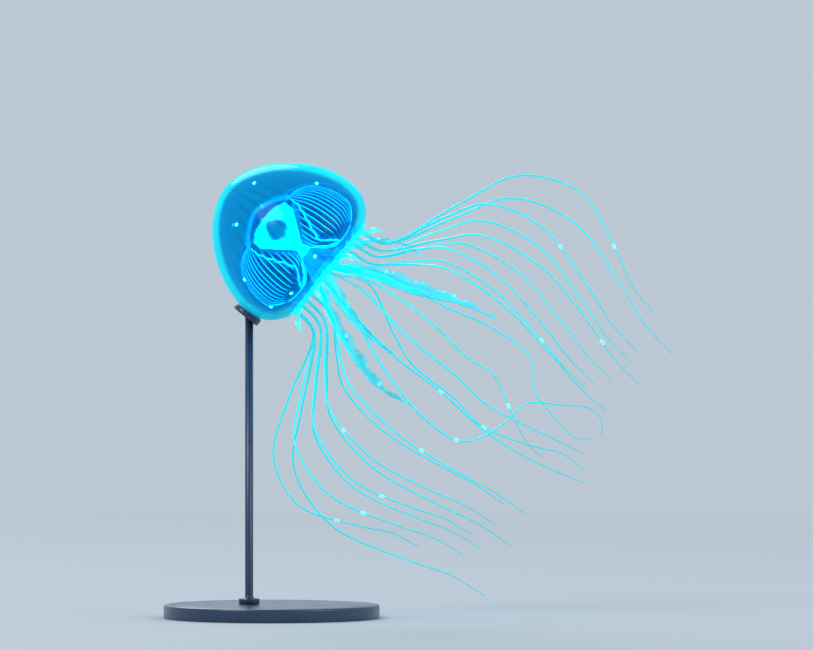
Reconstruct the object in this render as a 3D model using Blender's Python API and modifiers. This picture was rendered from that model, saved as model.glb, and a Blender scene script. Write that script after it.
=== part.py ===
"""A sea nettle, a jellyfish of the genus Chrysaora, as a life-size still model on a display stand.

The animal is built round its own axis, in a frame whose origin is the middle of the bell's mouth,
with +Z towards the top of the bell. An empty tips that frame over, so that the bell leans to the
left and the tentacles trail away to the lower right. Azimuths are turned round the bell's axis from
local +X, which is the upper right side of the tipped animal. A drop is a distance below the mouth.
The stand stands on the world's origin, its underside at Z = 0.
"""

import math

import bmesh
import bpy
from mathutils import Vector
from mathutils.geometry import interpolate_bezier

MM = 0.001
GAP = 0.3 * MM                      # clearance between pieces that touch

# ---- pose ----
MOUTH_CENTRE = (38 * MM, 0.0, 231.5 * MM)
LEAN = math.radians(-51)            # turn of the bell's axis about world Y, from upright

# ---- bell ----
BELL_RADIUS = 55 * MM               # at the widest
BELL_HEIGHT = 88.5 * MM             # from the mouth to the top
WIDEST_HEIGHT = 29.3 * MM
MARGIN_RADIUS = 36.5 * MM           # outer edge of the flat rim round the mouth
MARGIN_WIDTH = 3.5 * MM
CROWN_POWER, CROWN_ROOT = 1.6, 0.543      # roundness of the upper bell
SKIRT_POWER, SKIRT_ROOT = 3.0, 0.8        # roundness of the drawn-in lower bell
CAVITY_RADIUS = 47.5 * MM
CAVITY_WIDEST = 22 * MM
CAVITY_ROOF = 61 * MM               # where the cavity's roof would close without the stomach
CAVITY_POWER, CAVITY_ROOT = 2.2, 0.6
LIP_HEIGHT = 3 * MM                 # where the cavity's wall starts, above the rim
LIP_SHARE = 0.35                    # share of the cavity's wall that lies below its widest level
ROOF_LEDGE = 2 * MM                 # bare roof left round the stomach's dome
BELL_STEPS = 32

# ---- stomach: a dome set in the roof, and a mouth tube below it ----
DOME_RADIUS = 24 * MM
DOME_FOOT = 49 * MM                 # height of the dome's widest level
DOME_TOP = 64 * MM
DOME_POWER, DOME_ROOT = 1.5, 0.7
TUBE_RADIUS = 8 * MM
TUBE_END = 20 * MM
STOMACH_STEPS = 20

# ---- gonads: four pleated lobes that hang from the roof round the stomach ----
GONAD_AZIMUTHS = [-45 + 90 * quarter for quarter in range(4)]
GONAD_HALF_WIDTHS = (32, 27)        # degrees to each side of its middle, at its top and its foot
GONAD_BULGE = 11                    # degrees more, half way down
GONAD_SLANT = 0.63                  # share of its arc that is missing at its front or back end
GONAD_SLANT_POWER = 0.7
GONAD_DRAW_IN = 0.3                 # how far that end is drawn in, as a share of its radius
GONAD_DRAW_START = 0.55             # from this share of the way across to that end
GONAD_DRAW_LENGTH = 0.4             # over this share of the arc, up from its foot
GONAD_CENTRE = (24 * MM, 20 * MM)   # radius and height of the centre of the lobe's arc
GONAD_REACH = 18 * MM
GONAD_RISE = 31 * MM
GONAD_HANG = 15 * MM
GONAD_SWEEP = 155                   # degrees of its arc, from the top, down the lobe's middle
GONAD_CORNER = 25                   # degrees less at the lobe's sides, which rounds its hem
GONAD_FLAT = 0.5                    # share of the arc over which the pleats grow
GONAD_HEM = 0.3                     # share of the arc over which they shrink again
GONAD_HEM_CALM = 0.8                # and by how much
GONAD_PLEATS = 6
GONAD_PLEAT_DEPTH = 1.9 * MM
GONAD_THICKNESS = 1.3 * MM
GONAD_ROWS = 5

# ---- oral arms: azimuth at the root, further turn to the tip, then (radius, drop) handles ----
ARM_ROOT_RADIUS = 5 * MM
ARM_ROWS = 13
ARM_STRIPS = 4
ARM_THICKNESS = 1.7 * MM
ARM_FRILL = 2.2 * MM
ARM_ROOT_SHARE = 0.5                # width at the root, as a share of the widest
ARM_TIP_SHARE = 0.25
ARM_TURN = 22.5                     # degrees that every arm turns just below the mouth
ARM_TURN_SHARE = 0.25               # share of the arm over which it does
FRILL_POWER = 1.5                   # how much the frill keeps to the edges
FRILL_START = 0.2                   # share of the arm over which the frill grows
ARMS = [
    {"azimuth": 0, "drift": 2, "width": 11, "widest": 0.35,
     "handles": [(6, -12), (19, -1), (31, 5), (42, 14), (50, 28), (52, 42)]},
    {"azimuth": 90, "drift": 3, "width": 10, "widest": 0.35,
     "handles": [(6, -12), (12, 2), (24, 16), (36, 34), (40, 52), (38, 68)]},
    {"azimuth": 180, "drift": 4, "width": 14, "widest": 0.6,
     "handles": [(6, -12), (14, 4), (24, 21), (35, 45), (43, 76), (39, 100)]},
    {"azimuth": 270, "drift": 32, "width": 16, "widest": 0.6,
     "handles": [(6, -12), (17, 3), (34, 25), (41, 51), (50, 80), (55, 106)]},
]

# ---- tentacles ----
TENTACLE_ROOT_RADIUS = 34.75 * MM   # how far from the axis they leave the rim
TENTACLE_START = 2 * MM             # they leave the rim straight, this far
TENTACLE_GAP = 0.45 * MM            # between the rim and a root, whose end is tilted a little
TENTACLE_THICK = 0.95 * MM          # radius near the root
TENTACLE_SWELL = 1.25 * MM          # radius at the root
TENTACLE_THIN = 0.42 * MM           # radius at the tip
SWELL_SHARE = 0.08                  # share of its length that is swollen
THIN_POWER = 0.8
TENTACLE_POINTS = 15
TENTACLE_CUT = 8                    # the segment that parts a tentacle into two lengths
BEND_WEIGHT = 22 * MM               # how much a bend of one radian draws the points together
TIP_REACH = 0.785                   # reach of a fan tentacle's tip, as a share of its crest's reach
NECK = (4 * MM, 18 * MM)            # flare and drop of the neck, where a fan tentacle turns out
NECK_TURN = 0.1                     # share of its turn that a fan tentacle makes by the neck
FAN_ARCH = [(0.48, 0.40), (0.85, 0.60), (1.0, 1.0)]      # shares of the crest's reach and drop
FAN_FALL = [0.5, 0.75, 1.0]         # shares of the way from the crest's level to the tip's

# Fan tentacles: azimuth at the rim and at the crest, reach and drop of the crest, drop of the tip.
UPPER_FAN = [
    (0, 0, 146, 98, 186),
    (11.25, 17, 135, 107, 216),
    (-11.25, -28, 125, 92, 193),
    (33.75, 38, 130, 98, 199),
    (-33.75, -44.5, 125, 110, 207),
    (45, 50, 125, 100, 196),
    (-45, -56.5, 120, 94, 183),
    (56.25, 59.5, 120, 97, 187),
    (-56.25, -63, 119, 104, 200),
]
LOWER_FAN = [
    (180, 180, 134, 82, 163),
    (168.75, 163, 138, 108, 219),
    (191.25, 207, 128, 94, 189),
    (146.25, 143, 130, 104, 198),
    (213.75, 221.5, 128, 101, 183),
    (135, 132, 128, 105, 213),
    (225, 232, 125, 100, 191),
    (123.75, 121, 120, 96, 192),
    (236.25, 243, 119, 103, 203),
]
# Trailing tentacles: azimuth at the rim, how far they bow to the back or front, and handles
# (across, drop) that their waves pass through.
TRAILING = [
    (78.75, 88, [(22, 30), (30, 72), (40, 112), (40, 143), (24, 160), (19, 180), (17, 200), (25, 211)]),
    (281.25, 78, [(14, 38), (16, 74), (13, 108), (15, 127), (2, 155), (-6, 174), (-7, 187)]),
    (90, 104, [(10, 24), (-6, 61), (-14, 84), (-14, 122), (-17, 145), (-6, 181), (3, 200), (4, 221)]),
    (270, 98, [(4, 24), (-1, 70), (-1, 113), (-3, 134), (4, 171), (12, 206)]),
    (101.25, 72, [(-12, 29), (-17, 69), (-16, 109), (-18, 148), (-13, 188), (-2, 226)]),
    (258.75, 58, [(-12, 29), (-28, 72), (-36, 115), (-31, 141), (-8, 153), (14, 157), (28, 176),
                  (38, 192), (36, 203), (28, 209)]),
]
CREST_SHARE = 0.45                  # how far along its drop a trailing tentacle bows out most
TRAILING_DRAW_IN = 0.2              # share of its bow that it loses again by the tip

# ---- clubs: short young tentacles, one in each octant, joined to the bell ----
CLUB_AZIMUTHS = [22.5 + 45 * octant for octant in range(8)]
CLUB_HANDLES = [(0, -2), (0, 1), (3.5, 3.2), (8, 5.5), (12, 11)]      # (out from the root, drop)
CLUB_RADII = [1.15, 1.15, 1.0, 1.1, 0.8]

# ---- stand ----
BASE_RADIUS = 72 * MM
BASE_THICKNESS = 9 * MM
BASE_BEVEL = 1.5 * MM
BASE_SIDES = 24
ROD_X = -15 * MM
ROD_RADIUS = 2.75 * MM
COLLAR_RADIUS = 7 * MM
COLLAR_HEIGHT = 5 * MM
PAD_RADIUS = 10 * MM
PAD_HEIGHT = 4 * MM                 # of the cradle under the bell
ROD_BITE = 2 * MM                   # how far the rod reaches into the cradle


def clear_scene():
    """Remove every object that the file starts with."""
    for obj in list(bpy.data.objects):
        bpy.data.objects.remove(obj, do_unlink=True)


def make_collection(name):
    """A collection linked to the scene."""
    collection = bpy.data.collections.new(name)
    bpy.context.scene.collection.children.link(collection)
    return collection


def make_material(name, colour, roughness, metallic=0.0, alpha=1.0):
    """A Principled material."""
    material = bpy.data.materials.new(name)
    material.use_nodes = True
    shader = material.node_tree.nodes["Principled BSDF"]
    shader.inputs["Base Color"].default_value = (*colour, 1.0)
    shader.inputs["Roughness"].default_value = roughness
    shader.inputs["Metallic"].default_value = metallic
    shader.inputs["Alpha"].default_value = alpha
    return material


def place(name, data, collection, material=None, parent=None):
    """An object of this mesh or curve, in the collection and under its parent."""
    obj = bpy.data.objects.new(name, data)
    collection.objects.link(obj)
    obj.parent = parent
    if material:
        data.materials.append(material)
    return obj


def as_cutter(obj):
    """Mark a helper that only shapes other pieces."""
    obj.hide_render = True
    obj.display_type = "WIRE"


def smooth(mesh, angle=40):
    """Smooth shading that keeps edges sharper than the angle."""
    mesh.shade_smooth()
    mesh.set_sharp_from_angle(angle=math.radians(angle))


def mix(start, end, share):
    """The number this share of the way from start to end."""
    return start + (end - start) * share


def ease(share):
    """A smooth step from 0 to 1."""
    share = min(max(share, 0.0), 1.0)
    return share * share * (3 - 2 * share)


def polar(radius, azimuth, height):
    """A point of the animal's frame from its radius, azimuth in radians and height."""
    return Vector((radius * math.cos(azimuth), radius * math.sin(azimuth), height))


def curve_through(handles, steps=20):
    """Points of a smooth curve through the handles: Catmull-Rom, with centripetal spacing."""
    spans = [math.sqrt((end - start).length) for start, end in zip(handles, handles[1:])]
    rates = [(end - start) / span for start, end, span in zip(handles, handles[1:], spans)]
    slopes = [rates[0]]
    for i in range(len(spans) - 1):
        weighted = rates[i] * spans[i + 1] + rates[i + 1] * spans[i]
        slopes.append(weighted / (spans[i] + spans[i + 1]))
    slopes.append(rates[-1])
    points = [handles[0]]
    for i, span in enumerate(spans):
        start, end = handles[i], handles[i + 1]
        knob = start + slopes[i] * span / 3
        far_knob = end - slopes[i + 1] * span / 3
        points += interpolate_bezier(start, knob, far_knob, end, steps)[1:]
    return points


def thin_out(points, count):
    """This many of the points, closer together where the curve bends."""
    reach = [0.0]
    for i in range(1, len(points)):
        step = points[i] - points[i - 1]
        turn = step.angle(points[i + 1] - points[i]) if i < len(points) - 1 else 0.0
        reach.append(reach[-1] + step.length + BEND_WEIGHT * turn)
    chosen = []
    i = 0
    for k in range(count):
        target = reach[-1] * k / (count - 1)
        while i < len(reach) - 2 and reach[i + 1] < target:
            i += 1
        share = (target - reach[i]) / (reach[i + 1] - reach[i])
        chosen.append(points[i].lerp(points[i + 1], min(share, 1.0)))
    return chosen


def tube(name, points, radii, collection, material=None, parent=None):
    """A six-sided tube with closed ends, through the points."""
    data = bpy.data.curves.new(name, "CURVE")
    data.dimensions = "3D"
    data.bevel_depth = TENTACLE_THICK
    data.bevel_resolution = 1
    data.use_fill_caps = True
    spline = data.splines.new("POLY")
    spline.points.add(len(points) - 1)
    for knot, point, radius in zip(spline.points, points, radii):
        knot.co = (*point, 1.0)
        knot.radius = radius / TENTACLE_THICK
    spline.use_smooth = True
    return place(name, data, collection, material, parent)


def tube_mesh(name, points, radii, collection, parent):
    """The same tube as a mesh with its caps welded, for a Boolean."""
    curve = tube(name, points, radii, collection, parent=parent)
    bpy.context.view_layer.update()
    depsgraph = bpy.context.evaluated_depsgraph_get()
    mesh = bpy.data.meshes.new_from_object(curve.evaluated_get(depsgraph))
    welded = bmesh.new()
    welded.from_mesh(mesh)
    bmesh.ops.remove_doubles(welded, verts=welded.verts, dist=0.01 * MM)
    welded.to_mesh(mesh)
    welded.free()
    matrix = curve.matrix_world.copy()
    bpy.data.objects.remove(curve, do_unlink=True)
    obj = place(name, mesh, collection)
    obj.matrix_world = matrix
    return obj


def turned(name, profile, steps, collection, material=None, parent=None):
    """A profile of (radius, height) turned round local Z; it starts and ends on the axis."""
    mesh = bpy.data.meshes.new(name)
    corners = [(radius, 0.0, height) for radius, height in profile]
    mesh.from_pydata(corners, [(i, i + 1) for i in range(len(corners) - 1)], [])
    obj = place(name, mesh, collection, material, parent)
    screw = obj.modifiers.new("Turn", "SCREW")
    screw.axis = "Z"
    screw.steps = steps
    screw.render_steps = steps
    screw.use_merge_vertices = True
    screw.merge_threshold = 0.01 * MM
    screw.use_smooth_shade = True
    return obj


def grid_mesh(name, columns, rows, point):
    """A sheet of columns x rows faces; point(u, v) gives its corners, with u and v from 0 to 1."""
    mesh = bpy.data.meshes.new(name)
    sheet = bmesh.new()
    bmesh.ops.create_grid(sheet, x_segments=columns, y_segments=rows, size=0.5)
    for vert in sheet.verts:
        vert.co = point(vert.co.x + 0.5, vert.co.y + 0.5)
    sheet.to_mesh(mesh)
    sheet.free()
    smooth(mesh)
    return mesh


def thicken(obj, thickness):
    """Give a sheet an even thickness, half on each side."""
    solidify = obj.modifiers.new("Thickness", "SOLIDIFY")
    solidify.thickness = thickness
    solidify.offset = 0.0
    solidify.use_even_offset = False


# ---- bell ----

def crown(share, grow=0.0):
    """The outer bell from the top (0) to the widest level (1), as radius and height."""
    rise = math.cos(share * math.pi / 2)
    radius = (BELL_RADIUS + grow) * max(1 - rise ** CROWN_POWER, 0.0) ** CROWN_ROOT
    return radius, WIDEST_HEIGHT + (BELL_HEIGHT + grow - WIDEST_HEIGHT) * rise


def skirt(share, grow=0.0):
    """The outer bell from the widest level (0) in to the rim (1), as radius and height."""
    fall = math.sin(share * math.pi / 2)
    pull = 1 - (1 - fall ** SKIRT_POWER) ** SKIRT_ROOT
    radius = BELL_RADIUS + grow - (BELL_RADIUS - MARGIN_RADIUS) * pull
    return radius, WIDEST_HEIGHT - (WIDEST_HEIGHT + grow) * fall


def outer_profile(grow=0.0):
    """The bell's outside from its top to the rim, pushed out by grow."""
    upper = [crown(i / 8, grow) for i in range(9)]
    lower = [skirt(i / 5, grow) for i in range(1, 6)]
    return upper + lower


def dome_radius(height):
    """Radius of the stomach's dome at a height."""
    rise = max(height - DOME_FOOT, 0.0) / (DOME_TOP - DOME_FOOT)
    return DOME_RADIUS * max(1 - rise ** DOME_POWER, 0.0) ** DOME_ROOT


def cavity_wall(share):
    """The cavity's wall from the rim's lip (0) up to the edge of the stomach's dome (1)."""
    if share < LIP_SHARE:
        fall = math.cos(share / LIP_SHARE * math.pi / 2)
        pull = 1 - (1 - fall ** SKIRT_POWER) ** SKIRT_ROOT
        radius = CAVITY_RADIUS - (CAVITY_RADIUS - MARGIN_RADIUS + MARGIN_WIDTH) * pull
        return radius, CAVITY_WIDEST - (CAVITY_WIDEST - LIP_HEIGHT) * fall
    low = DOME_RADIUS + ROOF_LEDGE
    edge = (1 - (low / CAVITY_RADIUS) ** (1 / CAVITY_ROOT)) ** (1 / CAVITY_POWER)
    rise = edge * math.sin((share - LIP_SHARE) / (1 - LIP_SHARE) * math.pi / 2)
    radius = CAVITY_RADIUS * (1 - rise ** CAVITY_POWER) ** CAVITY_ROOT
    return radius, CAVITY_WIDEST + (CAVITY_ROOF - CAVITY_WIDEST) * rise


def bell_profile():
    """The whole bell: outside, flat rim, cavity wall and the recess that holds the stomach."""
    rim = [(MARGIN_RADIUS - MARGIN_WIDTH, 0.0)]
    wall = [cavity_wall(i / 7) for i in range(8)]
    recess = []
    for rise in (0.2, 0.45, 0.75):
        height = mix(DOME_FOOT, DOME_TOP, rise)
        recess.append((dome_radius(height) + GAP, height + GAP))
    return outer_profile() + rim + wall + recess + [(0.0, DOME_TOP + GAP)]


def build_bell(collection, helpers, material, parent):
    """The bell, with the eight clubs joined to its rim."""
    bell = turned("bell", bell_profile(), BELL_STEPS, collection, material, parent)
    for number, azimuth in enumerate(CLUB_AZIMUTHS, 1):
        angle = math.radians(azimuth)
        handles = [
            polar(TENTACLE_ROOT_RADIUS + out * MM, angle, -drop * MM) for out, drop in CLUB_HANDLES
        ]
        radii = [radius * MM for radius in CLUB_RADII]
        as_cutter(tube_mesh(f"club_{number}", handles, radii, helpers, parent))
    join = bell.modifiers.new("Clubs", "BOOLEAN")
    join.operation = "UNION"
    join.operand_type = "COLLECTION"
    join.collection = helpers
    join.solver = "EXACT"


# ---- stomach, gonads and oral arms ----

def build_stomach(collection, material, parent):
    """The domed stomach with its mouth tube."""
    heights = [mix(DOME_TOP, DOME_FOOT, share) for share in (0, 0.25, 0.55, 0.8, 1)]
    dome = [(dome_radius(height), height) for height in heights]
    waist = []
    for share in (0.2, 0.4, 0.6, 0.8, 1):
        radius = mix(DOME_RADIUS, TUBE_RADIUS, ease(share))
        waist.append((radius, mix(DOME_FOOT, TUBE_END + 4 * MM, share)))
    profile = dome + waist + [(TUBE_RADIUS, TUBE_END), (0.0, TUBE_END)]
    turned("stomach", profile, STOMACH_STEPS, collection, material, parent)


def gonad_point(number):
    """The pleated surface of this lobe, for grid_mesh: its top slants down to its front or back end."""
    middle, level = GONAD_CENTRE

    def point(u, v):
        side = 2 * u - 1
        across = u if number % 2 else 1 - u
        top = GONAD_SLANT * max(2 * across - 1, 0.0) ** GONAD_SLANT_POWER
        share = mix(top, 1.0, v)
        sweep = math.pi / 2 - share * math.radians(GONAD_SWEEP - GONAD_CORNER * side * side)
        rise = GONAD_RISE if sweep > 0 else GONAD_HANG
        depth = GONAD_PLEAT_DEPTH * ease(share / GONAD_FLAT)
        depth *= 1 - GONAD_HEM_CALM * ease((share - 1 + GONAD_HEM) / GONAD_HEM)
        fold = math.cos(u * GONAD_PLEATS * 2 * math.pi) * depth
        radius = middle + (GONAD_REACH + fold) * math.cos(sweep)
        drawn = ease((across - GONAD_DRAW_START) / (1 - GONAD_DRAW_START))
        radius *= 1 - GONAD_DRAW_IN * drawn * ease((1 - share) / GONAD_DRAW_LENGTH)
        height = level + (rise + fold) * math.sin(sweep)
        half = mix(GONAD_HALF_WIDTHS[0], GONAD_HALF_WIDTHS[1], share)
        half += GONAD_BULGE * math.sin(share * math.pi)
        return polar(radius, math.radians(GONAD_AZIMUTHS[number] + side * half), height)

    return point


def build_gonads(collection, material, parent):
    """Four pleated lobes that spring from the stomach's side and hang along the cavity's wall."""
    for number in range(len(GONAD_AZIMUTHS)):
        name = f"gonad_{number + 1}"
        mesh = grid_mesh(name, 2 * GONAD_PLEATS, GONAD_ROWS, gonad_point(number))
        lobe = place(name, mesh, collection, material, parent)
        thicken(lobe, GONAD_THICKNESS)


def arm_point(arm):
    """The frilled ribbon of an oral arm, for grid_mesh: u runs across it and v down it."""
    root = polar(ARM_ROOT_RADIUS, 0.0, TUBE_END - GAP)
    handles = [root] + [polar(radius * MM, 0.0, -drop * MM) for radius, drop in arm["handles"]]
    route = curve_through(handles)
    stations = thin_out(route, ARM_ROWS)

    def point(u, v):
        row = round(v * (ARM_ROWS - 1))
        side = 2 * u - 1
        turn = ARM_TURN * ease(v / ARM_TURN_SHARE) + arm["drift"] * ease(v)
        azimuth = math.radians(arm["azimuth"] + turn)
        widest = arm["widest"]
        swell = mix(ARM_ROOT_SHARE, 1.0, ease(v / widest))
        taper = mix(1.0, ARM_TIP_SHARE, ease((v - widest) / (1 - widest)))
        across = side * arm["width"] * MM / 2 * swell * taper
        frill = ARM_FRILL * abs(side) ** FRILL_POWER * (-1) ** row * ease(v / FRILL_START)
        centre = stations[row]
        ahead = stations[min(row + 1, ARM_ROWS - 1)] - stations[max(row - 1, 0)]
        outward = Vector((-ahead.z, 0.0, ahead.x)).normalized()
        spot = centre + outward * frill
        return polar(spot.x, azimuth, spot.z) + polar(across, azimuth + math.pi / 2, 0.0)

    return point


def build_arms(collection, material, parent):
    """Four frilled oral arms that hang from the end of the mouth tube."""
    for number, arm in enumerate(ARMS, 1):
        name = f"oral_arm_{number}"
        mesh = grid_mesh(name, ARM_STRIPS, ARM_ROWS - 1, arm_point(arm))
        ribbon = place(name, mesh, collection, material, parent)
        thicken(ribbon, ARM_THICKNESS)


# ---- tentacles ----

def rim_handles(azimuth):
    """Where a tentacle leaves the rim, and the end of its straight start."""
    angle = math.radians(azimuth)
    return [
        polar(TENTACLE_ROOT_RADIUS, angle, -TENTACLE_GAP),
        polar(TENTACLE_ROOT_RADIUS, angle, -TENTACLE_GAP - TENTACLE_START),
    ]


def fan_route(rim_azimuth, crest_azimuth, reach, crest_drop, tip_drop):
    """A tentacle that arches out to its crest and trails in again, like water from a fountain."""
    flare, neck_drop = NECK
    crest = reach * MM
    tip = crest * TIP_REACH

    def spot(radius, turn, drop):
        return polar(radius, math.radians(mix(rim_azimuth, crest_azimuth, turn)), -drop * MM)

    handles = rim_handles(rim_azimuth)
    handles.append(spot(TENTACLE_ROOT_RADIUS + flare, NECK_TURN, neck_drop / MM))
    for out, down in FAN_ARCH:
        handles.append(spot(mix(TENTACLE_ROOT_RADIUS, crest, out), out, crest_drop * down))
    for share in FAN_FALL:
        draw_in = (1 - math.cos(share * math.pi)) / 2
        handles.append(spot(mix(crest, tip, draw_in), 1.0, mix(crest_drop, tip_drop, share)))
    return curve_through(handles)


def trailing_route(rim_azimuth, bow, handles):
    """A tentacle that waves down behind or before the oral arms."""
    facing = math.copysign(1.0, math.sin(math.radians(rim_azimuth)))
    tip_drop = handles[-1][1]
    spots = rim_handles(rim_azimuth)
    for across, drop in handles:
        share = drop / tip_drop
        depth = mix(TENTACLE_ROOT_RADIUS, bow * MM, ease(share / CREST_SHARE))
        depth *= 1 - TRAILING_DRAW_IN * ease((share - CREST_SHARE) / (1 - CREST_SHARE))
        spots.append(Vector((across * MM, facing * depth, -drop * MM)))
    return curve_through(spots)


def tentacle_radius(share):
    """Its radius, from the swollen root (0) to the tip (1)."""
    swell = (TENTACLE_SWELL - TENTACLE_THICK) * (1 - ease(share / SWELL_SHARE))
    return mix(TENTACLE_THICK, TENTACLE_THIN, share ** THIN_POWER) + swell


def build_tentacle(number, route, collection, material, parent):
    """One tentacle in two lengths, which meet at a straight cut with a gap."""
    points = thin_out(route, TENTACLE_POINTS)
    shares = [i / (TENTACLE_POINTS - 1) for i in range(TENTACLE_POINTS)]
    before, after = points[TENTACLE_CUT - 1], points[TENTACLE_CUT]
    middle = (before + after) / 2
    half_gap = (after - before).normalized() * GAP / 2
    cut_share = (shares[TENTACLE_CUT - 1] + shares[TENTACLE_CUT]) / 2
    lengths = {
        "a": (points[:TENTACLE_CUT] + [middle - half_gap], shares[:TENTACLE_CUT] + [cut_share]),
        "b": ([middle + half_gap] + points[TENTACLE_CUT:], [cut_share] + shares[TENTACLE_CUT:]),
    }
    for letter, (places, along) in lengths.items():
        radii = [tentacle_radius(share) for share in along]
        tube(f"tentacle_{number:02d}_{letter}", places, radii, collection, material, parent)


def build_tentacles(collection, material, parent):
    """Twenty-four tentacles: two fans of nine, and three that trail on each broad side."""
    routes = [fan_route(*row) for row in UPPER_FAN]
    routes += [trailing_route(*row) for row in TRAILING]
    routes += [fan_route(*row) for row in LOWER_FAN]
    for number, route in enumerate(routes, 1):
        build_tentacle(number, route, collection, material, parent)


# ---- stand ----

def cylinder(name, radius, height, centre, direction, collection, material=None, sides=24):
    """A cylinder along the direction."""
    mesh = bpy.data.meshes.new(name)
    shape = bmesh.new()
    bmesh.ops.create_cone(
        shape, cap_ends=True, segments=sides, radius1=radius, radius2=radius, depth=height)
    shape.to_mesh(mesh)
    shape.free()
    smooth(mesh)
    obj = place(name, mesh, collection, material)
    obj.location = centre
    obj.rotation_euler = direction.to_track_quat("Z", "Y").to_euler()
    return obj


def combine(obj, other, operation):
    """Join or cut with an EXACT Boolean."""
    boolean = obj.modifiers.new(other.name, "BOOLEAN")
    boolean.operation = operation
    boolean.object = other
    boolean.solver = "EXACT"
    as_cutter(other)


def resting_point(parent):
    """Where the rod meets the bell: the outline's point over the rod, and its outward direction."""
    matrix = parent.matrix_world
    best = None
    for i in range(201):
        radius, height = skirt(i / 200)
        spot = matrix @ Vector((-radius, 0.0, height))
        if best is None or abs(spot.x - ROD_X) < abs(best.x - ROD_X):
            best = spot
    outward = (matrix.to_3x3() @ Vector((-1.0, 0.0, 0.0))).normalized()
    return best, outward


def build_stand(collection, helpers, material, parent):
    """A round base, and a rod with a small cradle that the bell rests in."""
    up = Vector((0.0, 0.0, 1.0))
    base = cylinder("stand_base", BASE_RADIUS, BASE_THICKNESS,
                    (0.0, 0.0, BASE_THICKNESS / 2), up, collection, material, sides=BASE_SIDES)
    bevel = base.modifiers.new("Edge", "BEVEL")
    bevel.width = BASE_BEVEL
    bevel.segments = 1
    bevel.limit_method = "ANGLE"

    contact, outward = resting_point(parent)
    foot = BASE_THICKNESS + GAP
    top = contact.z + ROD_BITE
    rod = cylinder("stand_rod", ROD_RADIUS, top - foot,
                   (ROD_X, 0.0, (top + foot) / 2), up, collection, material, sides=16)
    collar = cylinder("collar", COLLAR_RADIUS, COLLAR_HEIGHT,
                      (ROD_X, 0.0, foot + COLLAR_HEIGHT / 2), up, helpers)
    pad = cylinder("pad", PAD_RADIUS, 2 * PAD_HEIGHT, contact, outward, helpers)
    room = turned("room_for_bell", outer_profile(GAP) + [(0.0, -GAP)], BELL_STEPS, helpers,
                  parent=parent)
    combine(rod, collar, "UNION")
    combine(rod, pad, "UNION")
    combine(rod, room, "DIFFERENCE")


def main():
    """Build the jellyfish and its stand."""
    clear_scene()
    parts = make_collection("jellyfish")
    clubs = make_collection("clubs")
    cutters = make_collection("cutters")

    jelly = make_material("jelly", (0.30, 0.85, 0.90), 0.15, alpha=0.4)
    organ = make_material("organ", (0.15, 0.90, 0.95), 0.35)
    frill = make_material("frill", (0.25, 0.85, 0.90), 0.40)
    thread = make_material("thread", (0.20, 0.80, 0.85), 0.35)
    metal = make_material("stand", (0.03, 0.05, 0.12), 0.35, metallic=0.6)

    axis = bpy.data.objects.new("jellyfish_axis", None)
    parts.objects.link(axis)
    axis.location = MOUTH_CENTRE
    axis.rotation_euler = (0.0, LEAN, 0.0)
    bpy.context.view_layer.update()

    build_bell(parts, clubs, jelly, axis)
    build_stomach(parts, organ, axis)
    build_gonads(parts, organ, axis)
    build_arms(parts, frill, axis)
    build_tentacles(parts, thread, axis)
    build_stand(parts, cutters, metal, axis)


main()
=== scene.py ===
"""The looks of a life-size sea nettle, a jellyfish of the genus Chrysaora, on its display stand.

Every piece of the animal is modelled round the animal's own axis: the origin is the middle of the
bell's mouth, +Z points to the top of the bell, and a drop is a distance below the mouth. Azimuths are
turned round that axis from local +X, which is the upper right side of the tipped animal. The finished
mesh is then tipped as a whole, and its materials turn their coordinates back to the animal's own. Most
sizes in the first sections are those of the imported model.
"""

import math

import bpy
import numpy as np
from mathutils import Euler, Matrix, Vector
from mathutils.geometry import interpolate_bezier


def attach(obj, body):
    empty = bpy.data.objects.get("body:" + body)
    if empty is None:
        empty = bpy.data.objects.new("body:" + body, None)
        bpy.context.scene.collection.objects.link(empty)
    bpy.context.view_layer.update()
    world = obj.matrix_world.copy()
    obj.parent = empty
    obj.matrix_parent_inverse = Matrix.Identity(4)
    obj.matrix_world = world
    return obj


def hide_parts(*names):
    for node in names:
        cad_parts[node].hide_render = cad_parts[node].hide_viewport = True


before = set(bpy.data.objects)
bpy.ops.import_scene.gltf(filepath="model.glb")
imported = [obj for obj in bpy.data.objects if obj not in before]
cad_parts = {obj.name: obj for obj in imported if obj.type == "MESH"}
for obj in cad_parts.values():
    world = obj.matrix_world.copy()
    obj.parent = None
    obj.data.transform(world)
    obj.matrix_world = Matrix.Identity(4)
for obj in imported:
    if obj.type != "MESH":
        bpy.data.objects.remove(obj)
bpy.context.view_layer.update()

MM = 0.001
GAP = 0.3 * MM
UPRIGHT = np.array([0.0, 0.0, 1.0])

# ---- pose ----
MOUTH_CENTRE = (38 * MM, 0.0, 231.5 * MM)
LEAN = math.radians(-51)
POSE = Matrix.Translation(MOUTH_CENTRE) @ Euler((0.0, LEAN, 0.0)).to_matrix().to_4x4()

# ---- bell ----
BELL_RADIUS = 55 * MM
BELL_HEIGHT = 88.5 * MM
WIDEST_HEIGHT = 29.3 * MM
MARGIN_RADIUS = 36.5 * MM
MARGIN_WIDTH = 3.5 * MM
CROWN_POWER, CROWN_ROOT = 1.6, 0.543
SKIRT_POWER, SKIRT_ROOT = 3.0, 0.8
CAVITY_RADIUS = 47.5 * MM
CAVITY_WIDEST = 22 * MM
CAVITY_ROOF = 61 * MM  # where the hollow's roof would close without the stomach
CAVITY_POWER, CAVITY_ROOT = 2.2, 0.6
LIP_HEIGHT = 3 * MM  # where the hollow's wall starts, above the rim
LIP_SHARE = 0.35  # share of that wall below its widest level
ROOF_LEDGE = 2 * MM  # bare roof left round the stomach's dome

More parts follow.
